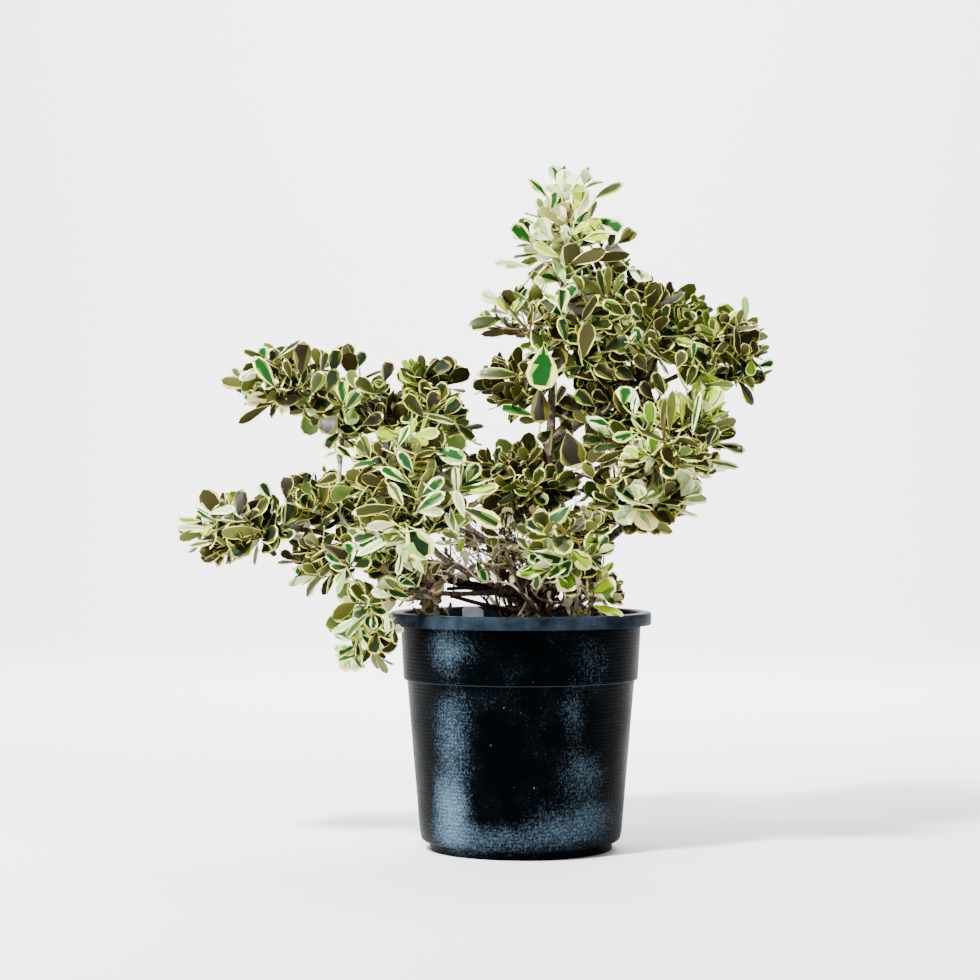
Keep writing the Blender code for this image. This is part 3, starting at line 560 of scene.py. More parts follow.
@dataclass
class MeshBuffer:
    """Gathers many surfaces into one mesh: points, faces of three or four corners, and each face's slot."""

    points: list[Array] = field(default_factory=list)
    faces: list[Array] = field(default_factory=list)
    slots: list[Array] = field(default_factory=list)
    count: int = 0

    def add(self, points: Array, faces: Array, slots: Array | int = 0) -> None:
        """Adds a surface.

        Args:
            points: (n, 3) places.
            faces: (m, 4) point numbers; a triangle repeats its last one.
            slots: the material slot of each face, or one for all.
        """
        self.points.append(points.reshape(-1, 3))
        self.faces.append(faces.reshape(-1, 4) + self.count)
        self.slots.append(np.broadcast_to(slots, (len(self.faces[-1]),)))
        self.count += len(self.points[-1])

    def add_rings(self, rings: Array, poles: list, slot: int = 0, flipped: bool = False) -> None:
        """Adds a surface through rings of points, closed by a fan round a pole at either end.

        Args:
            rings: (n, sides, 3) points.
            poles: the first pole and the last.
            slot: its material slot.
            flipped: whether the faces are turned over, as a profile drawn from the inside out needs.
        """
        count, sides = rings.shape[:2]
        i, k = np.meshgrid(np.arange(count - 1), np.arange(sides), indexing="ij")
        after = (k + 1) % sides
        quads = np.stack(
            [i * sides + k, i * sides + after, (i + 1) * sides + after, (i + 1) * sides + k], axis=-1
        ).reshape(-1, 4)
        k, after = k[0], after[0]
        pole, top = np.full(sides, count * sides), (count - 1) * sides
        low = np.stack([after, k, pole, pole], axis=-1)
        high = np.stack([top + k, top + after, pole + 1, pole + 1], axis=-1)
        fans = np.vstack([low, high])
        if flipped:
            quads, fans = quads[:, [0, 3, 2, 1]], fans[:, [1, 0, 2, 3]]
        self.add(np.vstack([rings.reshape(-1, 3), *poles]), np.vstack([quads, fans]), slot)

    def add_tube(
        self, line: Array, radii: Array, sides: int, slot: int = 0, relief: Array | float = 0.0
    ) -> None:
        """Adds a tube closed by a point at either end.

        Each ring's corner lies at the line's point plus the radius, times one plus the relief, along a
        direction that turns once round the line.

        Args:
            line: (n, 3) points.
            radii: (n,) radii.
            sides: corners of each ring.
            slot: its material slot.
            relief: (n, sides) swelling of the surface as a share of the radius.
        """
        side, front = ring_frames(line)
        turn = np.arange(sides) * 2 * math.pi / sides
        out = side[:, None] * np.cos(turn)[None, :, None] + front[:, None] * np.sin(turn)[None, :, None]
        reach = np.broadcast_to(radii[:, None] * (1.0 + relief), (len(line), sides))
        self.add_rings(line[:, None] + out * reach[..., None], [line[0], line[-1]], slot)

    def triangles(self) -> int:
        """How many triangles the gathered faces make."""
        faces = np.vstack(self.faces)
        return int(len(faces) + np.count_nonzero(faces[:, 2] != faces[:, 3]))

    def build(self, name: str, finishes: list, sharp: float | None = None) -> bpy.types.Object:
        """Makes the object, smooth shaded.

        Args:
            name: the object's name.
            finishes: what each material slot is made by.
            sharp: angle in degrees beyond which an edge is shaded sharp.

        Returns:
            The object, at the origin.
        """
        faces = np.vstack(self.faces).astype(np.int32)
        is_quad = faces[:, 2] != faces[:, 3]
        sizes = np.where(is_quad, 4, 3)
        keep = np.ones(faces.shape, dtype=bool)
        keep[:, 3] = is_quad
        corners = faces[keep]
        mesh = bpy.data.meshes.new(name)
        mesh.vertices.add(self.count)
        mesh.vertices.foreach_set("co", np.vstack(self.points).astype(np.float32).ravel())
        mesh.loops.add(len(corners))
        mesh.loops.foreach_set("vertex_index", corners)
        mesh.polygons.add(len(faces))
        starts = np.concatenate([[0], np.cumsum(sizes)[:-1]]).astype(np.int32)
        mesh.polygons.foreach_set("loop_start", starts)
        mesh.polygons.foreach_set("material_index", np.concatenate(self.slots).astype(np.int32))
        for finish in finishes:
            mesh.materials.append(material_of(finish))
        mesh.update(calc_edges=True)
        mesh.validate()
        mesh.shade_smooth()
        if sharp is not None:
            mesh.set_sharp_from_angle(angle=math.radians(sharp))
        obj = bpy.data.objects.new(name, mesh)
        bpy.context.scene.collection.objects.link(obj)
        LOG.info("%s: %d points, %d triangles", name, self.count, self.triangles())
        return obj


Finish = PlainFinish | GrainFinish | PotFinish
MADE_MATERIALS: dict[str, bpy.types.Material] = {}


def material_of(finish: Finish) -> bpy.types.Material:
    """Gives a finish's material, made once.

    Args:
        finish: the finish.

    Returns:
        Its material.
    """
    if finish.name not in MADE_MATERIALS:
        MADE_MATERIALS[finish.name] = finish.material()
    return MADE_MATERIALS[finish.name]


def settle(obj: bpy.types.Object, nodes: list[str]) -> None:
    """Sets a piece on the plant's one body.

    Args:
        obj: the piece.
        nodes: the CAD nodes that it stands for.
    """
    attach(obj, "root")
    if nodes:
        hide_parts(*nodes)


# ---------------------------------------------------------------- limbs


@dataclass(frozen=True)
class Limb:
    """A tapering limb. Its first point lies on its parent's line, a share at along it."""

    name: str
    parent: str
    at: float
    points: tuple
    radii: tuple[float, float]
    green: bool = False


SOIL_TOP = 0.245
TRUNK_FOOT = (0.028, 0.0)
LIMBS = (
Limb("trunk", "", 0.0, ((*TRUNK_FOOT, SOIL_TOP - 0.003), (*TRUNK_FOOT, 0.258), (0.029, 0.002, 0.296),
         (0.033, 0.008, 0.354), (0.030, 0.004, 0.423), (0.035, 0.000, 0.480), (0.036, 0.000, 0.526),
         (0.042, 0.002, 0.578), (0.047, 0.000, 0.635)), (0.0095, 0.0028)),
Limb("bough_low_left", "trunk", 0.135, ((-0.024, -0.010, 0.296), (-0.075, -0.012, 0.307),
         (-0.127, -0.008, 0.322), (-0.185, 0.000, 0.346), (-0.230, 0.003, 0.362), (-0.264, 0.002, 0.367)),
         (0.0064, 0.0026)),
Limb("bough_low_left_mid", "bough_low_left", 0.60, ((-0.172, 0.016, 0.351), (-0.190, 0.031, 0.369)),
         (0.0030, 0.0022)),
Limb("bough_low_left_under", "bough_low_left", 0.40, ((-0.118, -0.020, 0.317), (-0.139, -0.028, 0.323)),
         (0.0028, 0.0022)),
Limb("bough_upper_left", "bough_low_left", 0.70, ((-0.206, 0.010, 0.379), (-0.210, 0.019, 0.420),
         (-0.207, 0.025, 0.462)), (0.0036, 0.0024), True),
Limb("bough_upper_left_tip", "bough_upper_left", 0.86, ((-0.222, 0.022, 0.482), (-0.240, 0.021, 0.502)),
         (0.0026, 0.0021), True),
Limb("bough_crest", "trunk", 0.22, ((-0.010, 0.026, 0.341), (-0.058, 0.046, 0.366),
         (-0.087, 0.055, 0.411), (-0.096, 0.060, 0.455)), (0.0048, 0.0025)),
Limb("bough_front_left", "trunk", 0.115, ((-0.020, -0.046, 0.300), (-0.078, -0.085, 0.329),
         (-0.104, -0.104, 0.352)), (0.0048, 0.0027)),
Limb("bough_hanging_left", "bough_front_left", 0.30, ((-0.070, -0.054, 0.294), (-0.112, -0.064, 0.297),
         (-0.143, -0.068, 0.300), (-0.162, -0.068, 0.296)), (0.0034, 0.0022)),
Limb("bough_right", "trunk", 0.125, ((0.062, -0.014, 0.316), (0.097, -0.022, 0.354),
         (0.136, -0.023, 0.386), (0.160, -0.022, 0.425)), (0.0066, 0.0027)),
Limb("bough_right_low", "bough_right", 0.45, ((0.107, -0.038, 0.359), (0.120, -0.051, 0.371)),
         (0.0030, 0.0023)),
Limb("bough_front_right", "bough_right", 0.74, ((0.150, -0.060, 0.404), (0.153, -0.097, 0.430)),
         (0.0030, 0.0022)),
Limb("bough_right_upper", "trunk", 0.58, ((0.068, -0.004, 0.489), (0.116, -0.010, 0.514),
         (0.159, -0.012, 0.533), (0.194, -0.010, 0.549)), (0.0044, 0.0024)),
Limb("bough_upper_right", "bough_right_upper", 0.62, ((0.148, 0.010, 0.542), (0.158, 0.025, 0.564)),
         (0.0028, 0.0022)),
Limb("bough_right_inner", "trunk", 0.54, ((0.062, 0.024, 0.481), (0.078, 0.036, 0.492)),
         (0.0029, 0.0022)),
Limb("bough_back_right", "trunk", 0.36, ((0.064, 0.060, 0.423), (0.106, 0.113, 0.443),
         (0.126, 0.134, 0.452)), (0.0042, 0.0024)),
Limb("bough_back_upper", "trunk", 0.76, ((0.068, 0.050, 0.561), (0.098, 0.092, 0.577)), (0.0029, 0.0022)),
Limb("bough_front_low", "trunk", 0.165, ((0.036, -0.040, 0.309), (0.041, -0.066, 0.322)),
         (0.0032, 0.0024)),
Limb("bough_back_centre", "trunk", 0.185, ((0.023, 0.060, 0.345), (0.010, 0.118, 0.377)),
         (0.0040, 0.0024)),
Limb("bough_back_left", "bough_crest", 0.36, ((-0.082, 0.082, 0.369), (-0.110, 0.116, 0.387)),
         (0.0032, 0.0023)),
Limb("bough_rim_right", "trunk", 0.075, ((0.052, -0.022, 0.279), (0.068, -0.036, 0.285)),
         (0.0028, 0.0021)),
)


@dataclass
class Skeleton:
    """The trunk and boughs, as lines for the foliage to grow from and as barked wood."""

    step: float = 0.0032  # distance between rings
    sides: int = 20
    taper: float = 0.8
    flare: tuple[float, float] = (0.0075, 0.014)  # extra radius at the ground, and the height it fades over
    collar: float = 0.35  # swelling of a bough where it leaves its parent
    knuckle: float = 0.019  # distance between the rings of old leaf scars
    young_relief: float = 0.4  # the green limbs' relief as a share of the others'
    lines: dict[str, Array] = field(default_factory=dict)
    radii: dict[str, Array] = field(default_factory=dict)

    def __post_init__(self) -> None:
        """Draws each limb from its parent, and tapers it from a collar or, for the trunk, a flare."""
        for limb in LIMBS:
            points = list(limb.points)
            if limb.parent:
                points.insert(0, point_at(self.lines[limb.parent], limb.at)[0])
            line = smooth_line(points, self.step)
            run = run_along(line)
            start, end = limb.radii
            radii = start + (end - start) * (run / run[-1]) ** self.taper
            if limb.parent:
                radii = radii * (1 + self.collar * np.exp(-run / (2.5 * start)))
            else:
                radii = radii + self.flare[0] * np.exp(-run / self.flare[1])
            self.lines[limb.name], self.radii[limb.name] = line, radii

    def segments(self) -> tuple[Array, Array, Array]:
        """Cuts all the limbs into short pieces, each three rings long.

        Returns:
            Their starts, ends and radii.
        """
        starts = np.vstack([line[:-1:3] for line in self.lines.values()])
        ends = np.vstack([np.vstack([line[3:-1:3], line[-1]]) for line in self.lines.values()])
        radii = np.concatenate([radii[:-1:3] for radii in self.radii.values()])
        return starts, ends, radii

    def relief(self, line: Array, seed: int) -> Array:
        """The bark's swelling round a limb.

        Lengthwise ridges are a sum of cosines of the angle whose phases drift along the limb. To these add
        low knuckles, a narrow bell curve at each leaf scar, and small lumps from crossed sine waves.

        Args:
            line: (n, 3) the limb's points.
            seed: the limb's own source of chance.

        Returns:
            (n, sides) shares of the radius.
        """
        rng = np.random.default_rng(seed)
        run = run_along(line)[:, None]
        turn = np.arange(self.sides)[None, :] * 2 * math.pi / self.sides
        ridges = sum(
            amount * np.cos(lobes * turn + phase + drift * np.sin(run / 0.021 + phase))
            for lobes, amount, phase, drift in zip(
                (3, 5, 7), (0.055, 0.045, 0.030), rng.uniform(0, 6.28, 3), rng.uniform(0.4, 1.1, 3)
            )
        )
        scars = np.exp(-(((run / self.knuckle + 0.2 * np.sin(run / 0.05 + seed)) % 1.0 - 0.5) / 0.09) ** 2)
        lumps = 0.05 * np.sin(run / 0.0043 + seed) * np.cos(2 * turn + run / 0.009)
        return ridges + 0.13 * scars + lumps

    def build(self) -> None:
        """Makes the barked wood and the green riser of the upper left arm."""
        wood, green = MeshBuffer(), MeshBuffer()
        for seed, limb in enumerate(LIMBS):
            line, radii = self.lines[limb.name], self.radii[limb.name]
            buffer, depth = (green, self.young_relief) if limb.green else (wood, 1.0)
            buffer.add_tube(line, radii, self.sides, 0, self.relief(line, seed) * depth)
        old = [limb.name for limb in LIMBS if not limb.green]
        young = [limb.name for limb in LIMBS if limb.green]
        settle(wood.build("barked_limbs", [BARK]), old)
        settle(green.build("green_riser", [GREEN_BARK]), young)


# ---------------------------------------------------------------- foliage


@dataclass(frozen=True)
class Mass:
    """A mass of foliage: its limb, the place it leaves it, its space, and the looks of its sprays."""

    name: str
    limb: str
    at: float
    centre: tuple[float, float, float]
    reach: tuple[float, float, float]
    looks: tuple[Look, ...]
    size: float = 1.0  # of its leaves
    density: float = 1.0  # of its shoots


E, O, D, P, F, L = Look.EMERALD, Look.OLIVE, Look.DUSKY, Look.PALE, Look.FRESH, Look.LIME
MASSES = (
    Mass("low_left_tip", "bough_low_left", 1.0, (-0.328, 0.000, 0.376), (0.074, 0.062, 0.052),
         (O, D, O, F, D)),
    Mass("low_left_mid", "bough_low_left_mid", 1.0, (-0.231, 0.045, 0.394), (0.076, 0.070, 0.044),
         (D, O, D, O)),
    Mass("low_left_under", "bough_low_left_under", 1.0, (-0.188, -0.030, 0.337), (0.092, 0.060, 0.044),
         (D, O, D, E)),
    Mass("upper_left_tip", "bough_upper_left_tip", 1.0, (-0.276, 0.020, 0.546), (0.066, 0.062, 0.054),
         (O, D, E, D, O)),
    Mass("upper_left_mid", "bough_upper_left", 1.0, (-0.189, 0.030, 0.516), (0.060, 0.070, 0.056),
         (O, D, O, D)),
    Mass("crest_left", "bough_crest", 1.0, (-0.105, 0.060, 0.512), (0.056, 0.070, 0.062), (O, D, O, L)),
    Mass("front_left", "bough_front_left", 1.0, (-0.122, -0.110, 0.422), (0.083, 0.075, 0.082),
         (E, O, O, D, F, O, D), 1.15, 0.75),
    Mass("hanging_left", "bough_hanging_left", 1.0, (-0.176, -0.075, 0.266), (0.050, 0.055, 0.063),
         (E, O, P, O), 1.0, 0.8),
    Mass("crown_top", "trunk", 1.0, (0.056, 0.000, 0.722), (0.073, 0.064, 0.070), (P, E, F, E, O, E), 1.0,
         0.8),
    Mass("crown_shoulder", "trunk", 0.93, (0.108, 0.010, 0.662), (0.052, 0.060, 0.036), (D, P, O, E)),
    Mass("crown_left", "trunk", 0.80, (-0.010, -0.030, 0.614), (0.056, 0.060, 0.049), (E, O, L, D)),
    Mass("crown_low_left", "trunk", 0.66, (-0.014, 0.020, 0.543), (0.046, 0.056, 0.054), (O, D, D)),
    Mass("crown_mid", "trunk", 0.84, (0.083, -0.022, 0.603), (0.074, 0.070, 0.060), (O, E, D, O)),
    Mass("upper_right", "bough_upper_right", 1.0, (0.172, 0.040, 0.607), (0.066, 0.078, 0.052),
         (O, D, O, D)),
    Mass("far_right", "bough_right_upper", 1.0, (0.237, -0.010, 0.575), (0.056, 0.070, 0.062),
         (O, O, D, L, F)),
    Mass("right_mid", "bough_right", 1.0, (0.193, -0.020, 0.484), (0.062, 0.070, 0.065), (O, D, O, F)),
    Mass("right_inner", "bough_right_inner", 1.0, (0.110, 0.050, 0.519), (0.066, 0.074, 0.052),
         (D, O, D)),
    Mass("right_low", "bough_right_low", 1.0, (0.129, -0.060, 0.409), (0.074, 0.078, 0.052),
         (O, P, O, D)),
    Mass("centre_low", "trunk", 0.44, (0.000, 0.030, 0.430), (0.068, 0.078, 0.063), (D, O, D, O)),
    Mass("front_low", "bough_front_low", 1.0, (0.043, -0.088, 0.360), (0.070, 0.064, 0.052),
         (O, E, D, F)),
    Mass("rim_right", "bough_rim_right", 1.0, (0.087, -0.050, 0.302), (0.042, 0.046, 0.036), (F, E, O)),
    Mass("back_left", "bough_back_left", 1.0, (-0.142, 0.150, 0.428), (0.075, 0.070, 0.060), (O, D, O)),
    Mass("back_centre", "bough_back_centre", 1.0, (0.001, 0.160, 0.422), (0.075, 0.070, 0.058),
         (D, O, E)),
    Mass("back_right", "bough_back_right", 1.0, (0.156, 0.160, 0.480), (0.073, 0.070, 0.068),
         (O, D, O, F)),
    Mass("back_upper", "bough_back_upper", 1.0, (0.130, 0.130, 0.603), (0.067, 0.065, 0.058), (O, E, D)),
    Mass("front_right", "bough_front_right", 1.0, (0.156, -0.130, 0.480), (0.058, 0.065, 0.056),
         (O, D, O, F)),
)


# Neighbouring masses whose foliage grows together; between other masses the crown stays open.
CLUSTERS = (
    ("low_left_tip", "low_left_mid"), ("low_left_mid", "low_left_under", "front_left"),
    ("low_left_under", "hanging_left", "front_left"), ("upper_left_tip", "upper_left_mid"),
    ("upper_left_mid", "crest_left", "front_left"), ("front_left", "centre_low", "front_low"),
    ("centre_low", "front_low", "right_low"), ("centre_low", "right_inner", "right_low"),
    ("right_low", "right_mid", "front_right"), ("right_inner", "right_mid", "right_low"),
    ("right_inner", "crown_mid", "upper_right", "far_right"),
    ("right_mid", "far_right", "upper_right"), ("crown_top", "crown_mid", "crown_shoulder"),
    ("crown_shoulder", "upper_right", "crown_mid"), ("crown_left", "crown_mid", "crown_top"),
    ("crown_left", "crown_low_left", "crown_mid"), ("crown_low_left", "right_inner", "crown_mid"),
    ("front_low", "rim_right"), ("back_left", "back_centre"),
    ("back_centre", "back_right", "centre_low"), ("back_right", "back_upper", "right_inner"),
    ("back_left", "crest_left", "low_left_mid"),
)


# The pieces that the masses' leaves are joined in.
PIECES = {
    "leaves_left_arms": ("low_left_tip", "low_left_mid", "low_left_under", "upper_left_tip",
                         "upper_left_mid", "crest_left"),
    "leaves_front": ("front_left", "hanging_left", "front_low", "rim_right", "front_right", "right_low",
                     "centre_low"),
    "leaves_crown": ("crown_top", "crown_shoulder", "crown_left", "crown_low_left", "crown_mid",
                     "upper_right", "far_right", "right_mid", "right_inner"),
    "leaves_back": ("back_left", "back_centre", "back_right", "back_upper"),
}
# Leaves that stand out singly, in millimetres: where each starts (x, y, z), how far its tip lies from there
# (x, z), and its width.
# They are grouped by look, and by whether they show their tops or their undersides to the front.
PLACED = (
    (E, True, (
        (35, -10, 731, 4, 21, 11), (14, -10, 692, -22, 22, 21), (-9, -15, 609, 13, 33, 11),
        (25, -60, 578, 0, -50, 37), (21, -10, 494, -41, 16, 14), (45, -55, 609, 0, 28, 18),
        (271, -10, 552, 17, 7, 10), (247, -30, 533, 3, 13, 9), (193, -60, 557, 2, 20, 7),
        (114, -75, 506, 2, 20, 21), (134, -75, 476, -31, -7, 16), (203, -40, 490, 8, 10, 9),
        (154, -80, 452, 4, 16, 16), (-278, -30, 525, -21, 36, 18), (-282, 0, 561, 26, 24, 8),
        (-201, -50, 507, -2, 27, 15), (-204, -40, 479, -18, -18, 15), (-284, -10, 400, -14, 18, 15),
        (-101, -120, 458, 37, -12, 24), (-154, -120, 443, -32, -1, 11), (-113, -145, 402, 25, 22, 15),
        (-69, -130, 393, 44, -17, 20), (-128, -150, 375, 25, -34, 32), (-157, -145, 363, -27, -5, 15),
        (-179, -95, 229, -25, -4, 8), (-51, -70, 334, 10, -25, 12), (9, -110, 344, 34, -9, 17),
        (55, -120, 395, -27, -19, 19), (136, -45, 474, -6, 25, 16), (49, -5, 731, -12, 21, 13),
        (61, -8, 713, 13, 19, 16), (50, -30, 624, 8, 21, 15), (60, -40, 603, -25, 18, 15),
        (-122, -140, 417, -30, 19, 12), (-118, -146, 386, 29, 23, 16), (-150, -130, 350, -29, 4, 20),
        (-187, -100, 445, -16, 16, 12), (17, -72, 354, 16, 0, 11), (-115, -120, 305, -20, 8, 12),
    )),
    (O, True, (
        (83, 0, 745, 30, 20, 20), (97, -15, 629, -12, 32, 9), (-17, -10, 608, -41, -3, 19),
        (3, 0, 542, -49, 10, 16), (-14, 0, 558, -16, 9, 9), (89, -60, 566, 30, 16, 16),
        (51, -60, 575, -4, 29, 15), (204, -10, 624, -8, 10, 9), (185, -60, 526, 10, 24, 11),
        (175, -65, 548, 6, 19, 16), (158, -60, 559, -11, 23, 9), (222, -20, 473, 19, 4, 4),
        (213, -20, 459, 34, 6, 7), (-287, 0, 560, -30, 11, 8), (-261, -35, 535, -5, 23, 10),
        (-132, -145, 393, -50, -1, 13), (-140, -150, 261, 2, -17, 8), (125, -45, 469, -22, 20, 19),
        (118, -40, 492, -7, 30, 19), (164, -35, 517, -13, 26, 15), (85, -40, 505, -23, 17, 17),
        (143, -45, 545, -13, 18, 16), (70, -50, 552, -21, -10, 16), (121, -40, 608, -26, 16, 18),
        (136, -35, 614, -13, 23, 15), (136, -45, 603, -6, 20, 16), (73, -40, 598, -23, 10, 13),
        (-180, -118, 429, 26, 16, 16), (-230, -80, 417, 22, 12, 12), (-108, -95, 491, -20, 25, 20),
        (-88, -85, 493, 16, 20, 18), (-199, -60, 500, 14, 22, 18), (-163, -60, 518, -20, 20, 18),
        (-238, -45, 518, 10, 26, 18), (-136, -95, 319, 9, -16, 10), (-123, -125, 293, -23, 8, 12),
        (-119, -120, 320, -20, -9, 11),
    )),
    (O, False, (
        (16, 0, 719, -20, 2, 10), (73, -10, 674, 49, 10, 17), (100, -15, 629, 0, 40, 9),
        (103, -10, 630, 14, 29, 10), (145, -10, 612, 11, 37, 22), (68, -65, 555, 8, 44, 21),
        (268, -10, 538, 18, 13, 6), (211, -40, 532, 31, 2, 9), (215, -50, 559, 17, 20, 10),
        (165, -80, 471, 3, 50, 9), (158, -80, 472, -1, 41, 6), (213, -20, 476, 26, 9, 4),
        (-187, -40, 524, -7, 22, 18), (-285, 0, 510, -41, -18, 12), (-191, -50, 507, 0, -23, 17),
        (-291, -50, 366, -45, -3, 22), (-232, -10, 412, -24, 6, 10), (-191, -60, 416, -26, -13, 21),
        (-94, -20, 503, 26, 10, 16), (-105, -140, 418, 8, 27, 11), (-185, -100, 414, -27, -10, 20),
        (-181, -85, 287, -32, -14, 22), (71, -90, 278, -8, -7, 11), (28, -6, 650, -18, 12, 13),
        (-211, -90, 405, 18, 12, 22), (-237, -60, 405, -8, 14, 14), (-9, -40, 347, -31, 9, 12),
        (-71, -72, 356, -17, 11, 11), (-88, -80, 333, -15, -14, 9),
    )),
    (D, True, (
        (20, -45, 531, 1, -42, 23), (51, -40, 480, 11, -40, 31), (35, -40, 480, -15, -13, 15),
        (60, -30, 478, -13, 11, 15), (76, -55, 609, 23, 4, 10), (195, -30, 601, -7, 14, 12),
        (219, -40, 531, 26, 10, 6), (-250, -40, 538, 4, 38, 22), (-228, -30, 538, 6, 30, 10),
        (-216, -20, 542, 8, 28, 17), (-185, -10, 551, 3, 18, 13), (-159, -20, 537, 8, 15, 15),
        (-207, -40, 498, -18, -20, 25), (-182, -40, 484, 25, 12, 15), (-321, -30, 379, 2, 31, 20),
        (-268, -20, 399, -1, 27, 17), (-70, 0, 483, 26, 3, 7), (-76, 0, 489, 23, -17, 14),
        (-160, -110, 256, -5, -24, 15), (-223, -90, 351, 29, -13, 15), (108, -30, 500, 16, 20, 16),
        (152, -30, 513, -16, 20, 16), (94, -30, 469, -24, 0, 15), (70, -40, 500, -24, 17, 19),
        (101, -35, 510, -18, 13, 16), (85, -50, 535, -28, 15, 19), (107, -50, 535, -22, 17, 17),
        (130, -45, 535, -20, 15, 17), (125, -50, 557, -23, 10, 16), (39, -55, 507, 8, 22, 11),
        (-104, -95, 496, 8, 24, 18), (-220, -50, 518, 10, 28, 16), (-6, -42, 339, -27, 0, 10),
        (35, -78, 339, 16, -8, 10), (-155, -50, 532, 6, 24, 16),
    )),
    (D, False, (
        (50, -20, 665, 11, 27, 24), (96, 0, 678, 24, -15, 15), (98, -10, 630, -27, 24, 11),
        (1, -5, 595, -45, -5, 9), (16, 0, 595, -38, -2, 11), (2, 0, 536, -37, -8, 12),
        (1, 0, 550, -10, 27, 15), (23, -5, 491, -25, 0, 10), (122, -60, 458, -37, -14, 9),
        (-147, -125, 414, -29, 13, 14), (83, -35, 485, -23, 15, 15), (50, -18, 667, 46, 18, 17),
        (-126, -140, 378, -26, -22, 18), (-118, -140, 393, 19, 43, 12), (-22, -45, 358, -20, 9, 10),
        (-49, -52, 341, -13, 22, 12),
    )),
    (P, True, (
        (33, 0, 745, -20, 25, 15), (47, -10, 749, 6, 27, 25), (60, -15, 718, 18, 33, 20),
        (87, -5, 724, 28, -15, 24), (33, -30, 696, -13, 22, 23), (16, -10, 666, -43, 7, 14),
        (120, 0, 670, 28, -17, 22), (-20, 0, 625, -23, 13, 19), (259, 0, 603, -2, 29, 11),
        (191, -80, 468, 0, 50, 9), (125, -80, 492, 0, 24, 16), (104, -50, 483, -26, 10, 13),
        (216, 0, 518, 15, -9, 7), (-307, 0, 551, -15, -12, 10), (-268, -20, 515, -5, -22, 20),
        (-247, -10, 505, 10, -6, 10), (-202, -40, 454, -22, 0, 7), (-347, 0, 371, -24, 17, 6),
        (-348, -15, 366, -42, 3, 10), (-359, -20, 383, 30, 11, 12), (-164, -130, 437, 29, -5, 13),
        (-115, -148, 387, 27, 2, 11), (-132, -145, 364, -46, -19, 8), (-195, -95, 326, -9, -29, 9),
        (-177, -100, 273, -32, -19, 10), (-146, -95, 293, -19, 6, 12), (-165, -115, 277, 3, -18, 10),
        (-177, -90, 230, -10, -19, 13), (-132, -140, 346, -3, -26, 9), (103, -35, 472, -26, 23, 17),
        (136, -45, 505, -18, 20, 17), (61, 0, 733, 22, 17, 15), (51, -8, 717, -8, 18, 15),
        (40, -18, 697, -27, 15, 22), (53, -16, 687, -3, 25, 12), (30, -10, 646, -13, 8, 13),
        (51, -14, 646, -8, 23, 11), (-118, -146, 429, -16, 23, 14), (-62, -140, 378, -11, 31, 12),
        (-67, -136, 358, -12, 28, 13), (19, -78, 337, 16, 7, 13), (-120, -90, 319, -11, 15, 9),
    )),
    (P, False, (
        (205, -10, 447, 43, -9, 9), (-340, -20, 356, -37, -10, 7), (-122, -90, 497, 49, -4, 8),
        (-71, -135, 401, -3, 37, 10), (-134, -148, 374, -37, 1, 13), (-79, -135, 396, 3, -30, 8),
        (-165, -105, 279, -32, -27, 8), (-149, -125, 281, 0, -27, 7), (-177, -100, 248, 3, -14, 6),
        (18, -80, 322, -1, -22, 12), (43, -12, 682, -26, -5, 13), (-128, -142, 391, -18, 28, 13),
        (-124, -138, 356, -33, 8, 22), (-127, -125, 328, -7, 26, 14), (12, -64, 341, -15, 17, 11),
        (-131, -125, 301, -19, 11, 13), (-107, -115, 318, -12, 16, 10),
    )),
    (F, True, (
        (60, -25, 727, 7, 32, 21), (68, -30, 696, 29, 5, 16), (35, -20, 676, -15, 17, 14),
        (230, -40, 603, 15, 10, 10), (145, -85, 478, -3, 30, 16), (-365, 0, 376, -27, 1, 14),
        (-224, 0, 430, -2, 9, 8), (-124, -130, 469, 30, 8, 14), (-62, -125, 407, 34, 9, 14),
        (73, -88, 294, 29, 15, 27), (75, -88, 284, 36, -10, 14), (52, -110, 347, 22, -20, 21),
        (46, -22, 675, -29, 17, 15), (71, -20, 704, 25, -2, 15), (61, 4, 724, 16, 18, 14),
        (50, -30, 622, -23, 15, 15), (-62, -62, 358, -9, -15, 8), (74, -78, 324, -20, 25, 16),
        (19, -74, 324, -1, -23, 11),
    )),
    (L, True, (
        (57, -30, 700, 15, 17, 12), (-13, -20, 610, -14, 21, 10), (-12, -25, 611, 8, 15, 10),
        (261, -40, 560, -1, -18, 13), (255, -40, 558, 7, 10, 9), (180, -75, 481, 0, 33, 7),
        (-351, -30, 371, -10, -8, 12), (-331, 0, 394, -6, 14, 8), (-135, -130, 470, -24, 4, 18),
        (-128, -135, 472, -9, 8, 11), (-124, -130, 471, 6, 18, 11), (-120, -135, 470, 16, -7, 10),
        (-180, -95, 244, -14, 8, 6), (66, -14, 703, 22, 17, 16), (78, -72, 333, 4, 18, 8),
    )),
)


@dataclass
class LeafSpec:
    """The leaves of a piece, as whole columns of values with one row for each leaf.

    Attributes:
        root, along, upper: (n, 3) where a leaf starts, the way it points and the way its top faces.
        length, width: (n,) sizes, the width as a share of the length.
        bend: (n,) radians that the blade curls back over its length, or forward if negative.
        fold, roll, wave, twist: (n,) rise of the halves, roll of the edges, waviness, turn of the tip.
        edge: (n,) share of each half that the pale edge takes.
        tones: (n, 4) slots of the middle, the flecks, the edge and the underside.
    """

    root: Array
    along: Array
    upper: Array
    length: Array
    width: Array
    bend: Array
    fold: Array
    roll: Array
    wave: Array
    twist: Array
    edge: Array
    tones: Array

    @classmethod
    def joined(cls, parts: list["LeafSpec"]) -> "LeafSpec":
        """One set of leaves from several."""
        names = cls.__dataclass_fields__
        return cls(**{name: np.concatenate([getattr(part, name) for part in parts]) for name in names})

    def chosen(self, which: Array) -> "LeafSpec":
        """The leaves that which picks."""
        return LeafSpec(**{name: getattr(self, name)[which] for name in self.__dataclass_fields__})


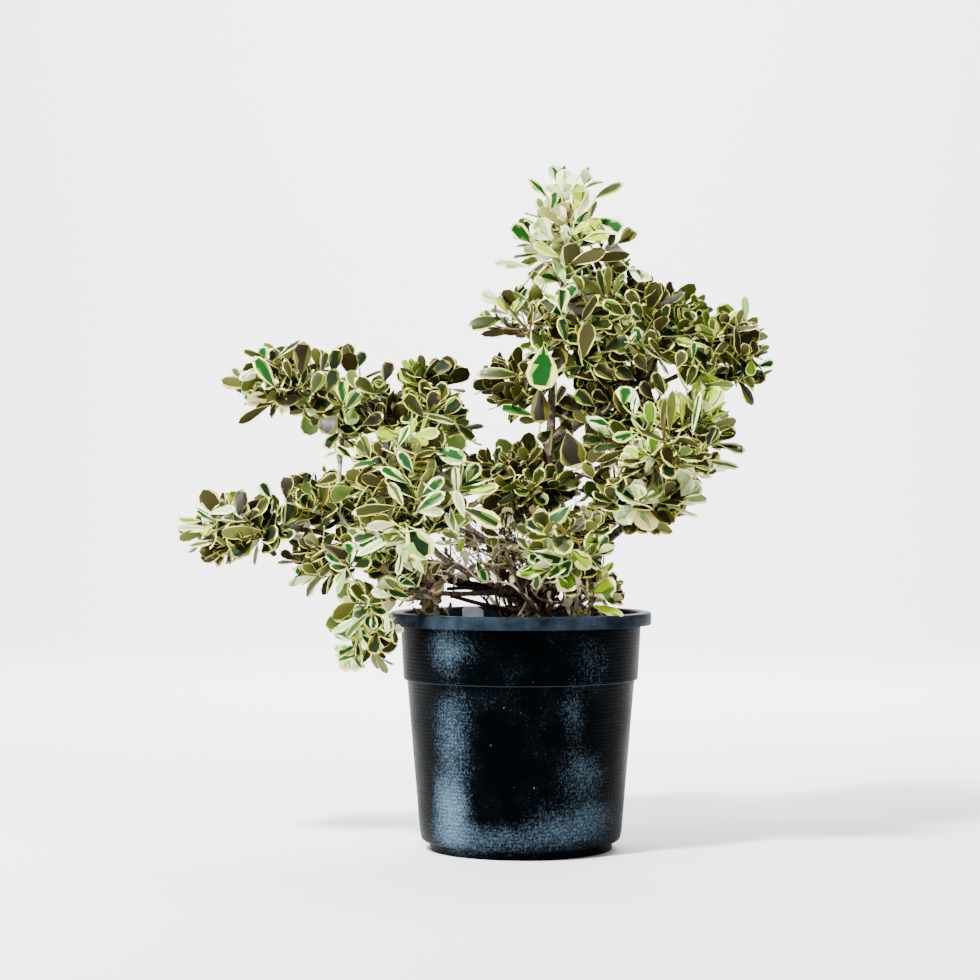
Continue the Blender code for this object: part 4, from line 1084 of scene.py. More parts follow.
@dataclass(frozen=True)
class LeafBlade:
    """The shape that every leaf shares: a short stalk, a wedge-shaped base and a broad, blunt blade.

    Rows of points lie along the leaf and columns across it. The columns are the two edges, the two places
    where the pale edge begins, the two where the in-between band ends, and the midrib. Top and underside
    share the edges, so a blade is closed.
    """

    rows: tuple[float, ...] = (0.09, 0.27, 0.48, 0.70, 0.90)
    stalk: float = 0.07
    widest: float = 1.60  # power that sets how far out a leaf is broadest
    bluntness: float = 0.56
    thickness: float = 0.00045
    neck: float = 0.05  # half width of the stalk as a share of the blade's
    band_gaps: float = 0.30  # share of the band's faces that take the middle's tone
    edge_gaps: float = 0.06  # share of the edge's faces that take the band's tone

    def half_width(self) -> Array:
        """The half width at each row as a share of the greatest: a power of a skewed sine."""
        t = np.clip((np.asarray(self.rows) - self.stalk) / (1 - self.stalk), 0.0, 1.0)
        return np.maximum(np.sin(math.pi * t**self.widest) ** self.bluntness, self.neck)

    def points(self, leaves: LeafSpec, rng: np.random.Generator) -> Array:
        """Places each leaf's points.

        The midrib is an arc: after a share t of the length it has turned by the bend times t. Across it, a
        point at share u of the half width w rises by fold |u| w, drops by roll u^4 w and waves by a sine
        of t times u squared. The cross direction turns with t by the twist.

        Args:
            leaves: the leaves.
            rng: gives each leaf its own uneven edge and band.

        Returns:
            (n, 2 + 10 rows, 3): the root, the tip, then for each row seven points above and three below.
        """
        n = len(leaves.length)
        t = np.asarray(self.rows)[None, :]
        bend = np.where(np.abs(leaves.bend) < 1e-3, 1e-3, leaves.bend)[:, None]
        across = np.cross(leaves.upper, leaves.along)
        size = leaves.length[:, None]

        def midrib(share: Array) -> Array:
            """Finds the arc's points.

            Args:
                share: shares of the leaf's length.

            Returns:
                A point for each.
            """
            ahead = np.sin(bend * share) / bend * size
            down = (1 - np.cos(bend * share)) / bend * size
            return (leaves.root[:, None] + leaves.along[:, None] * ahead[..., None]
                    - leaves.upper[:, None] * down[..., None])

        ribs = midrib(t)
        angle = bend * t
        normal = (leaves.along[:, None] * np.sin(angle)[..., None]
                  + leaves.upper[:, None] * np.cos(angle)[..., None])
        turn = leaves.twist[:, None] * t
        side = across[:, None] * np.cos(turn)[..., None] + normal * np.sin(turn)[..., None]
        normal = normal * np.cos(turn)[..., None] - across[:, None] * np.sin(turn)[..., None]
        half = self.half_width()[None, :] * (leaves.width * leaves.length / 2)[:, None]

        edge = leaves.edge[:, None, None] * rng.uniform(0.5, 1.5, (n, t.shape[1], 2))
        inner = np.clip(1 - edge, 0.12, 0.94)
        band = inner * rng.uniform(0.30, 0.92, inner.shape)
        full = np.ones((n, t.shape[1]))
        u = np.stack(
            [-full, -inner[..., 0], -band[..., 0], 0 * full, band[..., 1], inner[..., 1], full], axis=-1
        )
        phase = rng.uniform(0, 2 * math.pi, (n, 1, 1))
        rise = (
            leaves.fold[:, None, None] * np.abs(u)
            - leaves.roll[:, None, None] * u**4
            + leaves.wave[:, None, None] * np.sin(phase + 9.0 * t[..., None] + 1.4 * u) * u**2
        ) * half[..., None]
        top = (ribs[:, :, None] + side[:, :, None] * (u * half[..., None])[..., None]
               + normal[:, :, None] * rise[..., None])
        under = top[:, :, (1, 3, 5)] - normal[:, :, None] * self.thickness
        rows = np.concatenate([top, under], axis=2).reshape(n, -1, 3)
        tip = midrib(np.ones((1, 1)))
        return np.concatenate([leaves.root[:, None], tip, rows], axis=1)

    def faces(self) -> tuple[Array, Array]:
        """One leaf's faces and their zones: strips from edge to edge, above and then below.

        Returns:
            (60, 4) point numbers and (60,) zones.
        """
        count = len(self.rows)
        edge, band = Zone.MARGIN, Zone.FLECK
        sides = (
            (range(7), (edge, band, Zone.CORE, Zone.CORE, band, edge)),
            ((6, 9, 8, 7, 0), (edge, Zone.UNDER, Zone.UNDER, edge)),
        )
        faces, zones = [], []
        for row in range(-1, count):
            start, after = 2 + 10 * row, 2 + 10 * (row + 1)
            for columns, strips in sides:
                for a, b, zone in zip(columns, columns[1:], strips):
                    if row < 0:
                        faces.append([0, after + b, after + a, after + a])
                        zones.append(Zone.STALK.value)
                    elif row == count - 1:
                        faces.append([start + a, start + b, 1, 1])
                        zones.append((Zone.UNDER if zone == Zone.UNDER else edge).value)
                    else:
                        faces.append([start + a, start + b, after + b, after + a])
                        zones.append(zone.value)
        return np.array(faces), np.array(zones)

    def add_to(self, buffer: MeshBuffer, leaves: LeafSpec, seed: int) -> None:
        """Adds the leaves to a buffer, the in-between band broken here and there.

        Args:
            buffer: where they go.
            leaves: the leaves.
            seed: the source of chance for their patterns.
        """
        rng = np.random.default_rng(seed)
        points = self.points(leaves, rng)
        faces, zones = self.faces()
        n = len(points)
        offsets = (np.arange(n) * points.shape[1])[:, None, None]
        zone = np.broadcast_to(zones, (n, len(zones))).copy()
        draw = rng.random(zone.shape)
        zone[(zone == Zone.FLECK.value) & (draw < self.band_gaps)] = Zone.CORE.value
        zone[(zone == Zone.MARGIN.value) & (draw < self.edge_gaps)] = Zone.FLECK.value
        tones = np.concatenate([leaves.tones, np.full((n, 1), LIVE_TONES.index(STALK))], axis=1)
        slots = np.take_along_axis(tones, zone, axis=1)
        buffer.add(points, faces[None] + offsets, slots.ravel())


@dataclass
class Crown:
    """All the foliage: stems, shoots and leaves, mass by mass."""

    skeleton: Skeleton
    shoots_per_area: float = 1500.0  # shoots for each square metre of a mass's section
    leaf: tuple[float, float] = (0.031, 0.046)  # shortest and longest full-grown leaf
    usual_reach: float = 0.062  # mean reach of a mass whose leaves are full-sized
    inset: float = 0.020  # how far inside its space a shoot ends
    inset_low: float = 0.010  # and how much lower
    innermost: float = 0.45  # share of the way out where the innermost shoots end
    overshoot: float = 0.13  # how far past its space a leaf may reach
    trespass: float = 0.25  # how much nearer to a neighbour's middle a shoot may end
    merging: float = 4.0  # power by which neighbours' spaces flow together
    stretches: tuple[float, ...] = (1.45, 1.30, 1.15, 1.0)  # how far a shoot may reach towards a neighbour
    light_pull: float = 0.65  # how strongly the end of a shoot turns up
    even: float = 0.8191725134  # its powers spread points evenly in space
    seed_step: float = 0.377
    stem_foot: float = 0.004
    stem_radii: tuple[float, float] = (0.0026, 0.0012)
    stem_past: float = 0.30  # how far a stem runs past its mass's middle, as a share of its reach
    stem_bow: float = 0.40  # how far it keeps its first heading
    shoot_radii: tuple[float, float] = (0.0014, 0.0008)
    shoot_sag: float = 0.16  # how far a shoot hangs before it turns up
    pairs: tuple[int, int] = (3, 6)  # of leaves on a shoot: at least the first, fewer than the second
    spacing: tuple[float, float] = (0.006, 0.0085)  # between pairs
    splay: tuple[float, float] = (14, 62)  # degrees off the shoot: the bud's, and what age adds to it
    box_gap: float = 0.002  # from the CAD's box to a leaf
    bark_gap: float = 0.0015  # from a limb to a leaf
    rim_clear: tuple[float, float] = (0.154, 0.277)  # leaves stay outside this radius or above this height,
    soil_clear: tuple[float, float] = (0.129, 0.252)  # or inside this radius and above this height
    blade: LeafBlade = LeafBlade()
    lean: float = 0.35  # how far a single leaf leans forward, as a share of its run
    clearing: float = 0.45  # share of a single leaf's length that others keep away from its middle
    clear_depth: float = 0.09  # how far in front of it
    slack: float = 1.06  # a single leaf's length over the span from its foot to its tip
    centre: float = 0.55  # share of a leaf's length where its middle is taken
    twig_run: float = 0.035  # longest twig to a single leaf
    twig_radii: tuple[float, float] = (0.0009, 0.0013)
    twig_sag: float = 0.12
    middles: Array = field(default_factory=lambda: np.zeros((0, 3)))
    spans: Array = field(default_factory=lambda: np.zeros(0))

    def stem_line(self, mass: Mass) -> Array:
        """The mass's stem: from its limb, into the mass and a little past its middle.

        Args:
            mass: the mass.

        Returns:
            (13, 3) points: the limb's own, then an arc.
        """
        root, heading = point_at(self.skeleton.lines[mass.limb], mass.at)
        centre = np.array(mass.centre)
        if mass.at < 1.0:
            heading = unit(centre - root)
        end = centre + self.stem_past * (centre - root)
        first = root + heading * self.stem_foot
        bend = first + heading * self.stem_bow * np.linalg.norm(centre - first)
        t = np.linspace(0, 1, 12)[:, None]
        curve = (1 - t) ** 2 * first + 2 * t * (1 - t) * bend + t**2 * end
        return np.vstack([root, curve])

    def spread(self, index: int, seed: float) -> list[float]:
        """Three numbers from 0 to 1 that fill a space evenly as the index runs on."""
        return [(0.5 + self.seed_step * seed * (k + 1) + self.even ** (k + 1) * (index + 1)) % 1.0
                for k in range(3)]

    def inside_share(self, points: Array, mass: Mass) -> Array:
        """Distance from a mass's centre, as a share of its reach that way."""
        return np.linalg.norm((points - np.array(mass.centre)) / np.array(mass.reach), axis=-1)

    def space_share(self, points: Array, mass: Mass) -> Array:
        """As inside_share, but in the space that a mass shares with the neighbours it grows into.

        The shares in a cluster are joined by the sum of their inverse powers, which rounds the space over
        the gap between two masses that nearly meet. The least of the mass's clusters counts.

        Args:
            points: (..., 3) places.
            mass: the mass.

        Returns:
            (...) shares, less than one inside the space.
        """
        shares = {other.name: self.inside_share(points, other) for other in MASSES}
        joined = [shares[mass.name]]
        for cluster in CLUSTERS:
            if mass.name in cluster:
                total = sum(np.maximum(shares[name], 1e-3) ** -self.merging for name in cluster)
                joined.append(total ** (-1 / self.merging))
        return np.min(joined, axis=0)

    def shoot_line(self, mass: Mass, seed: int, index: int, stem: Array) -> Array:
        """A shoot's line, an arc that leaves the stem below its own end and turns up to it.

        Args:
            mass: the mass that it belongs to.
            seed: the mass's number.
            index: the shoot's number.
            stem: the mass's stem.

        Returns:
            (7, 3) points.
        """
        turn, lift, out = self.spread(index, seed)
        height = 1 - 2 * lift
        flat = math.sqrt(1 - height * height)
        aim = np.array([flat * math.cos(2 * math.pi * turn), flat * math.sin(2 * math.pi * turn), height])
        inner = np.maximum(np.array(mass.reach) - self.inset, 0.35 * np.array(mass.reach))
        share = self.innermost + (1 - self.innermost) * out**0.6
        out_by = self.inset * unit(aim * inner)
        for stretch in self.stretches:
            end = np.array(mass.centre) + stretch * share * inner * aim - UP * self.inset_low
            if float(self.space_share(end + out_by, mass)) < 1.0:
                break
        shares = np.linspace(0, 1, 21)
        nearest = min(shares, key=lambda s: float(np.linalg.norm(point_at(stem, s)[0] - end)))
        start = point_at(stem, min(0.95, max(0.12, nearest - 0.22)))[0]
        bend = (start + end) / 2 - UP * self.shoot_sag * np.linalg.norm(end - start)
        t = np.linspace(0, 1, 7)[:, None]
        return (1 - t) ** 2 * start + 2 * t * (1 - t) * bend + t**2 * end

    def spray(self, line: Array, look: Look, mass: Mass, rng: np.random.Generator) -> LeafSpec:
        """The leaves of one shoot: crossed pairs, wide below and upright above, and a bud of small ones.

        Args:
            line: the shoot.
            look: the look that its leaves share.
            mass: the mass that it belongs to.
            rng: the source of chance.

        Returns:
            The leaves.
        """
        length = run_along(line)[-1]
        grown = unit(line[-1] - line[-3])
        axis = unit(grown + self.light_pull * UP)
        side = np.cross(axis, UP)
        side = unit(side) if np.linalg.norm(side) > 0.05 else np.array([1.0, 0.0, 0.0])
        front = np.cross(side, axis)
        pairs = int(rng.integers(*self.pairs))
        spacing = rng.uniform(*self.spacing)
        pairs = max(2, min(pairs, int(0.8 * length / spacing) + 1))
        room = sum(mass.reach) / 3 / self.usual_reach
        full = mass.size * rng.uniform(*self.leaf) * min(1.0, max(0.75, room))
        spin = rng.uniform(0, 2 * math.pi)
        rows = []
        for level in range(pairs + 1):
            age = 1 - level / pairs  # one for the oldest pair, none for the bud
            back = spacing * (pairs - level) * (0.75 + 0.25 * age)
            root = point_at(line, 1 - min(0.9, back / length))[0]
            splay = math.radians(self.splay[0] + self.splay[1] * age**0.8) + rng.normal(0, 0.13, 2)
            size = full * (0.55 + 0.45 * min(1.0, 1.6 * age)) * rng.uniform(0.86, 1.1, 2)
            for half in range(2):
                turn = spin + math.pi * half + math.pi / 2 * level + rng.normal(0, 0.22)
                outward = side * math.cos(turn) + front * math.sin(turn)
                along = axis * math.cos(splay[half]) + outward * math.sin(splay[half])
                upper = axis * math.sin(splay[half]) - outward * math.cos(splay[half])
                rows.append((root, along, upper, size[half], age))
        root, along, upper, size, age = (np.array(column) for column in zip(*rows))
        return self.dressed(root, along, upper, size, age, look, rng)

    def dressed(
        self, root: Array, along: Array, upper: Array, size: Array, age: Array, look: Look,
        rng: np.random.Generator,
    ) -> LeafSpec:
        """Gives leaves of one look their shape and their tones.

        Args:
            root, along, upper: (n, 3) where each leaf starts, points and faces.
            size: (n,) lengths.
            age: (n,) one for full-grown leaves, none for the bud.
            look: the look that they share.
            rng: the source of chance.

        Returns:
            The leaves.
        """
        n = len(size)
        character = look.value
        young = np.clip(1 - age + character.young * 0.5, 0, 1)
        zones = ((0, character.cores), (len(CORES), character.flecks),
                 (len(CORES) + len(FLECKS), character.margins),
                 (len(CORES) + len(FLECKS) + len(MARGINS), character.unders))
        tones = np.stack([first + rng.choice(numbers, n) for first, numbers in zones], axis=1)
        return LeafSpec(
            root=root, along=along, upper=upper, length=size, width=rng.normal(character.broad, 0.05, n),
            bend=rng.normal(0.55, 0.35, n) * (1 - young) - 0.35 * young,
            fold=rng.uniform(0.05, 0.35, n), roll=rng.uniform(0.05, 0.45, n) * (1 - 0.6 * young),
            wave=rng.uniform(0.0, 0.14, n), twist=rng.normal(0, 0.25, n),
            edge=np.clip(rng.normal(character.edge, 0.30 * character.edge, n), 0.07, 0.85), tones=tones,
        )

    def single_leaves(self, wood: MeshBuffer) -> dict[str, LeafSpec]:
        """Places the leaves that stand out singly, each with a twig from inside the mass that it belongs to.

        Args:
            wood: where the twigs go.

        Returns:
            The leaves by the name of their mass.
        """
        rng = np.random.default_rng(5)
        found: dict[str, list[LeafSpec]] = {}
        for look, faces_front, rows in PLACED:
            x, y, z, x_run, z_run, width = np.array(rows).T
            x_tip, z_tip = (x + x_run) / 1000, (z + z_run) / 1000
            x, y, z, width = x / 1000, y / 1000, z / 1000, width / 1000
            run = np.hypot(x_tip - x, z_tip - z)
            lean = self.lean * run * (1.0 if faces_front else 0.3)
            root = np.stack([x, y, z], axis=1)
            ahead = np.stack([x_tip, y - lean, z_tip], axis=1) - root
            along = unit(ahead)
            upper = np.array([0.0, -0.9, 0.4] if faces_front else [0.0, 0.9, 0.25])
            upper = upper + rng.normal(0, 0.2, root.shape)
            upper = unit(upper - along * (upper * along).sum(axis=1, keepdims=True))
            size = np.linalg.norm(ahead, axis=1) * self.slack
            leaves = self.dressed(root, along, upper, size, np.ones(len(size)), look, rng)
            leaves.width = np.clip(width / size, 0.2, 0.95)
            leaves.bend = rng.normal(0.35, 0.2, len(size))
            middle = root + self.centre * ahead
            owners = np.argmin([self.inside_share(middle, mass) for mass in MASSES], axis=0)
            for owner in np.unique(owners):
                mine = owners == owner
                found.setdefault(MASSES[owner].name, []).append(leaves.chosen(mine))
                stem = self.stem_line(MASSES[owner])
                for start in root[mine]:
                    inward = stem[np.argmin(np.linalg.norm(stem - start, axis=1))] - start
                    reach = min(self.twig_run, float(np.linalg.norm(inward)))
                    t = np.linspace(0, 1, 5)[:, None]
                    sag = UP * self.twig_sag * reach * np.sin(math.pi * t)
                    line = start + t * unit(inward) * reach - sag
                    wood.add_tube(line, np.linspace(*self.twig_radii, 5), 6, 1)
            self.middles = np.vstack([self.middles, middle])
            self.spans = np.concatenate([self.spans, size])
        LOG.info("%d single leaves", len(self.spans))
        return {name: LeafSpec.joined(parts) for name, parts in found.items()}

    def leaves_view(self, leaves: LeafSpec) -> Array:
        """Which leaves don't grow close in front of a single leaf.

        Args:
            leaves: the leaves.

        Returns:
            (n,) true for the leaves to keep.
        """
        middle = leaves.root + self.centre * leaves.along * leaves.length[:, None]
        gap = middle[:, None] - self.middles
        near = np.hypot(gap[..., 0], gap[..., 2]) < self.clearing * self.spans
        before = (gap[..., 1] < 0.004) & (gap[..., 1] > -self.clear_depth)
        return ~(near & before).any(axis=1)

    def allowed(self, leaves: LeafSpec, mass: Mass) -> Array:
        """Which leaves keep to the mass's space and the CAD's box, and off the limbs, the pot and the soil.

        Args:
            leaves: the leaves; each is tested at four places, allowing for its bend.
            mass: the mass that they belong to.

        Returns:
            (n,) true for the leaves to keep.
        """
        ahead = leaves.along * leaves.length[:, None]
        wide = np.cross(leaves.upper, leaves.along) * (leaves.width * leaves.length / 2)[:, None]
        bow = leaves.upper * (leaves.bend * leaves.length)[:, None]
        tests = np.stack(
            [leaves.root + 0.35 * ahead, leaves.root + 0.6 * ahead + wide - 0.18 * bow,
             leaves.root + 0.6 * ahead - wide - 0.18 * bow, leaves.root + ahead - 0.45 * bow],
            axis=1,
        )
        inside = (self.space_share(tests, mass) < 1 + self.overshoot).all(axis=1)
        low, high = (np.array(corner) for corner in CAD_BOX)
        boxed = ((tests > low + self.box_gap) & (tests < high - self.box_gap)).all(axis=(1, 2))
        across, height = np.linalg.norm(tests[..., :2], axis=-1), tests[..., 2]
        over_soil = (across < self.soil_clear[0]) & (height > self.soil_clear[1])
        off_pot = (across > self.rim_clear[0]) | (height > self.rim_clear[1]) | over_soil
        starts, ends, radii = self.skeleton.segments()
        run = ends - starts
        gap = tests[:, :, None] - starts
        share = np.clip((gap * run).sum(-1) / (run * run).sum(-1), 0, 1)
        off_limbs = np.linalg.norm(gap - share[..., None] * run, axis=-1) > radii + self.bark_gap
        return inside & boxed & off_pot.all(axis=1) & off_limbs.all(axis=(1, 2)) & self.leaves_view(leaves)

    def grow(self, mass: Mass, seed: int, wood: MeshBuffer) -> LeafSpec:
        """Grows one mass, without the shoots that end nearer a neighbour or keep fewer than two leaves.

        Args:
            mass: the mass.
            seed: its number.
            wood: where its stem and shoots go.

        Returns:
            Its leaves.
        """
        rng = np.random.default_rng(1000 + seed)
        stem = self.stem_line(mass)
        wood.add_tube(stem, np.linspace(*self.stem_radii, len(stem)), 8, 0)
        a, b, c = mass.reach
        wanted = round(mass.density * self.shoots_per_area * (a * b + b * c + a * c))
        parts = []
        for index in range(wanted):
            line = self.shoot_line(mass, seed, index, stem)
            own = float(self.inside_share(line[-1], mass))
            rivals = [float(self.inside_share(line[-1], other)) for other in MASSES if other is not mass]
            if own > min(rivals) + self.trespass:
                continue
            leaves = self.spray(line, mass.looks[index % len(mass.looks)], mass, rng)
            keep = self.allowed(leaves, mass)
            if keep.sum() < 2:
                continue
            wood.add_tube(line, np.linspace(*self.shoot_radii, len(line)), 6, 1 if index % 3 else 0)
            parts.append(leaves.chosen(keep))
        grown = LeafSpec.joined(parts)
        LOG.info("%s: %d shoots, %d leaves", mass.name, len(parts), len(grown.length))
        return grown

    def build(self) -> None:
        """Grows the masses and joins their leaves into a few pieces, and all their shoots into one."""
        wood = MeshBuffer()
        single = self.single_leaves(wood)
        grown = {mass.name: self.grow(mass, seed + 1, wood) for seed, mass in enumerate(MASSES)}
        for name, leaves in single.items():
            grown[name] = LeafSpec.joined([grown[name], leaves])
        settle(wood.build("green_shoots", [SHOOT, STALK]), [])
        for seed, (name, members) in enumerate(PIECES.items()):
            buffer = MeshBuffer()
            self.blade.add_to(buffer, LeafSpec.joined([grown[member] for member in members]), 50 + seed)
            piece = buffer.build(name, LIVE_TONES, sharp=100)
            settle(piece, ["leaves_" + member for member in members])


# ---------------------------------------------------------------- pot, soil and what lies on it


@dataclass
class Pot:
    """The nursery pot, turned finely about Z."""

    rim: float = 0.150
    height: float = 0.272
    wall: float = 0.0022
    lip: float = 0.0145
    band_top: float = 0.1385
    band_foot: float = 0.1345
    step_height: float = 0.195
    body_top: float = 0.1305
    body_foot: float = 0.1150
    foot: float = 0.1050
    foot_height: float = 0.010
    floor: float = 0.004
    steps: int = 144

    def outer(self, z: float) -> float:
        """The wall's outer radius, straight in the band and straight in the body.

        Args:
            z: the height.

        Returns:
            The radius there.
        """
        if z >= self.step_height:
            share = (z - self.step_height) / (self.height - self.step_height)
            return self.band_foot + share * (self.band_top - self.band_foot)
        share = (z - self.foot_height) / (self.step_height - self.foot_height)
        return self.body_foot + share * (self.body_top - self.body_foot)

    def arc(self, centre: tuple[float, float], radius: float, start: float, end: float) -> list:
        """Five points of a rounded corner in (radius, height), by angles in degrees."""
        angles = np.radians(np.linspace(start, end, 5))
        return [(centre[0] + radius * math.cos(a), centre[1] + radius * math.sin(a)) for a in angles]

    def profile(self) -> list[tuple[float, float]]:
        """Draws the pot's section.

        Returns:
            Inner floor, inside, lip, outside and underside, as (radius, height).
        """
        top, w, lip_foot = self.height, self.wall, self.height - self.lip
        inside = [(0.0, self.floor), (self.foot - w, self.floor), (self.foot - w, self.foot_height + w),
                  (self.outer(0.024) - w, 0.024), (self.body_top - w, self.step_height + w),
                  (self.outer(self.step_height + 2 * w) - w, self.step_height + 2 * w)]
        lip = [
            *self.arc((self.band_top - w + 0.003, top - 0.003), 0.003, 180, 90),
            *self.arc((self.rim - 0.003, top - 0.003), 0.003, 90, 0),
            (self.rim, top - 0.006), (self.rim - 0.0004, lip_foot + 0.0007),
            *self.arc((self.rim - 0.0011, lip_foot + 0.0007), 0.0007, 0, -180),
            (self.rim - w, top - 2 * w), (self.band_top, top - 2 * w), (self.outer(lip_foot), lip_foot),
        ]
        body = [
            (self.outer(0.225), 0.225),
            (self.band_foot + 0.0001, self.step_height + 0.004),
            *self.arc((self.band_foot - 0.0012, self.step_height + 0.0012), 0.0012, 0, -90),
            (self.body_top + 0.0006, self.step_height - 0.0002),
            (self.body_top, self.step_height - 0.0012),
            *((self.outer(z), z) for z in (0.16, 0.12, 0.08, 0.045, 0.024)),
            *self.arc((self.body_foot - 0.0060, self.foot_height + 0.0060), 0.0058, -8, -90),
            (self.foot + 0.0006, self.foot_height), (self.foot, self.foot_height - 0.0008),
            (self.foot - 0.0003, 0.0016),
            *self.arc((self.foot - 0.0018, 0.0015), 0.0015, 0, -90),
            (0.0, 0.0),
        ]
        return inside + lip + body

    def build(self) -> None:
        """Makes the pot as one closed surface of revolution, its poles in the floor's two faces."""
        profile = np.array(self.profile())
        buffer = MeshBuffer()
        poles = [[0, 0, profile[0, 1]], [0, 0, profile[-1, 1]]]
        buffer.add_rings(turned(profile[1:-1], self.steps), poles, flipped=True)
        settle(buffer.build("nursery_pot", [PotFinish()], sharp=38), ["pot"])


@dataclass
class Soil:
    """Potting mix: a crumbly surface over a plain block, with loose chips on it."""

    radius: float = 0.1318
    top: float = SOIL_TOP
    relief: float = 0.0042
    # Radius and height of the rings of the block under the surface.
    walls: tuple = ((0.1305, 0.20), (0.1275, 0.19), (0.114, 0.024), (0.1024, 0.013), (0.1024, 0.0043))
    rings: int = 44
    steps: int = 132
    chips: int = 420
    chip: tuple[float, float] = (0.0010, 0.0034)  # half the length of the smallest and the largest
    chip_reach: float = 0.126  # radius that they lie within

    def height(self, x: Array, y: Array) -> Array:
        """Shapes the surface: broad and fine sine waves crossed at odd angles, always under the top.

        Args:
            x: places along X.
            y: places along Y.

        Returns:
            The heights there.
        """
        broad = np.sin(61 * x + 40 * y + 1.3) + np.sin(-90 * x + 117 * y + 2.1)
        fine = np.sin(410 * x + 260 * y) * np.sin(-330 * x + 470 * y + 0.7) + np.sin(700 * x - 520 * y + 1.9)
        return self.top + self.relief * (0.25 * broad + 0.22 * fine - 0.9)

    def build(self) -> None:
        """Makes the mix as a closed turned block, its top rings lifted to the surface, and the chips."""
        reach = np.linspace(0, self.radius, self.rings + 1)[1:]
        surface = turned(np.column_stack([reach, 0 * reach]), self.steps)
        surface[..., 2] = self.height(surface[..., 0], surface[..., 1])
        rings = np.concatenate([surface, turned(np.array(self.walls), self.steps)])
        buffer = MeshBuffer()
        poles = [[0, 0, float(self.height(np.array(0.0), np.array(0.0)))], [0, 0, self.walls[-1][1]]]
        buffer.add_rings(rings, poles, flipped=True)
        settle(buffer.build("potting_mix_block", [POTTING_MIX]), ["soil"])
        self.scatter()

    def scatter(self) -> None:
        """Strews chips of bark: stretched eight-faced crystals turned at random."""
        rng = np.random.default_rng(77)
        axes = np.eye(3)
        corners = np.stack([axes, -axes], axis=1).reshape(-1, 3)
        sides = np.array(
            [[0, 2, 4], [2, 1, 4], [1, 3, 4], [3, 0, 4], [2, 0, 5], [1, 2, 5], [3, 1, 5], [0, 3, 5]]
        )
        faces = np.column_stack([sides, sides[:, 2]])
        buffer = MeshBuffer()
        for _ in range(self.chips):
            reach, out = strewn(rng, self.chip_reach)
            x, y, _ = reach * out
            size = rng.uniform(*self.chip) * np.array([1.0, rng.uniform(0.4, 0.9), rng.uniform(0.3, 0.6)])
            yaw, pitch = rng.uniform(0, 2 * math.pi), rng.normal(0, 0.4)
            turn = np.array(
                [[math.cos(yaw) * math.cos(pitch), -math.sin(yaw), math.cos(yaw) * math.sin(pitch)],
                 [math.sin(yaw) * math.cos(pitch), math.cos(yaw), math.sin(yaw) * math.sin(pitch)],
                 [-math.sin(pitch), 0, math.cos(pitch)]]
            )
            z = float(self.height(np.array(x), np.array(y))) + 0.0006
            buffer.add((corners * size) @ turn.T + [x, y, z], faces, int(rng.random() < 0.35))
        settle(buffer.build("bark_chips", [DRY_DARK, DRY_LIGHT], sharp=20), [])


# Thick dead stems that show singly, in millimetres: points (x, y, z), the radius at the first and at the
# last, and whether the stem is bleached.
DEAD_STEMS = (
    (((-79, -30, 291), (-50, -34, 283), (-22, -30, 276), (6, -20, 264)), 2.3, 2.9, 0),
    (((-84, -30, 299), (-62, -36, 300), (-40, -30, 298), (-24, -30, 304), (-11, -30, 323)), 2.1, 2.0, 0),
    (((-38, -28, 349), (-36, -30, 344), (-22, -30, 317), (-6, -30, 301), (5, -24, 265)), 2.6, 3.4, 0),
    (((-4, -24, 348), (-9, -30, 335), (-22, -30, 317)), 2.4, 3.0, 0),
    (((22, -30, 336), (25, -30, 323), (34, -30, 292), (35, -28, 264)), 1.4, 1.9, 0),
    (((-80, -30, 356), (-80, -32, 336), (-76, -30, 304), (-80, -28, 288)), 1.2, 1.4, 1),
    (((-139, -32, 279), (-124, -34, 294), (-89, -32, 304), (-69, -28, 332)), 1.3, 1.0, 1),
)


# How far up the low limbs bare twigs grow, as a share of their length.
TWIGGY = {
    "trunk": 0.22, "bough_low_left": 0.55, "bough_front_left": 0.55, "bough_right": 0.55,
    "bough_hanging_left": 0.55, "bough_crest": 0.55, "bough_front_low": 0.55, "bough_back_centre": 0.55,
}


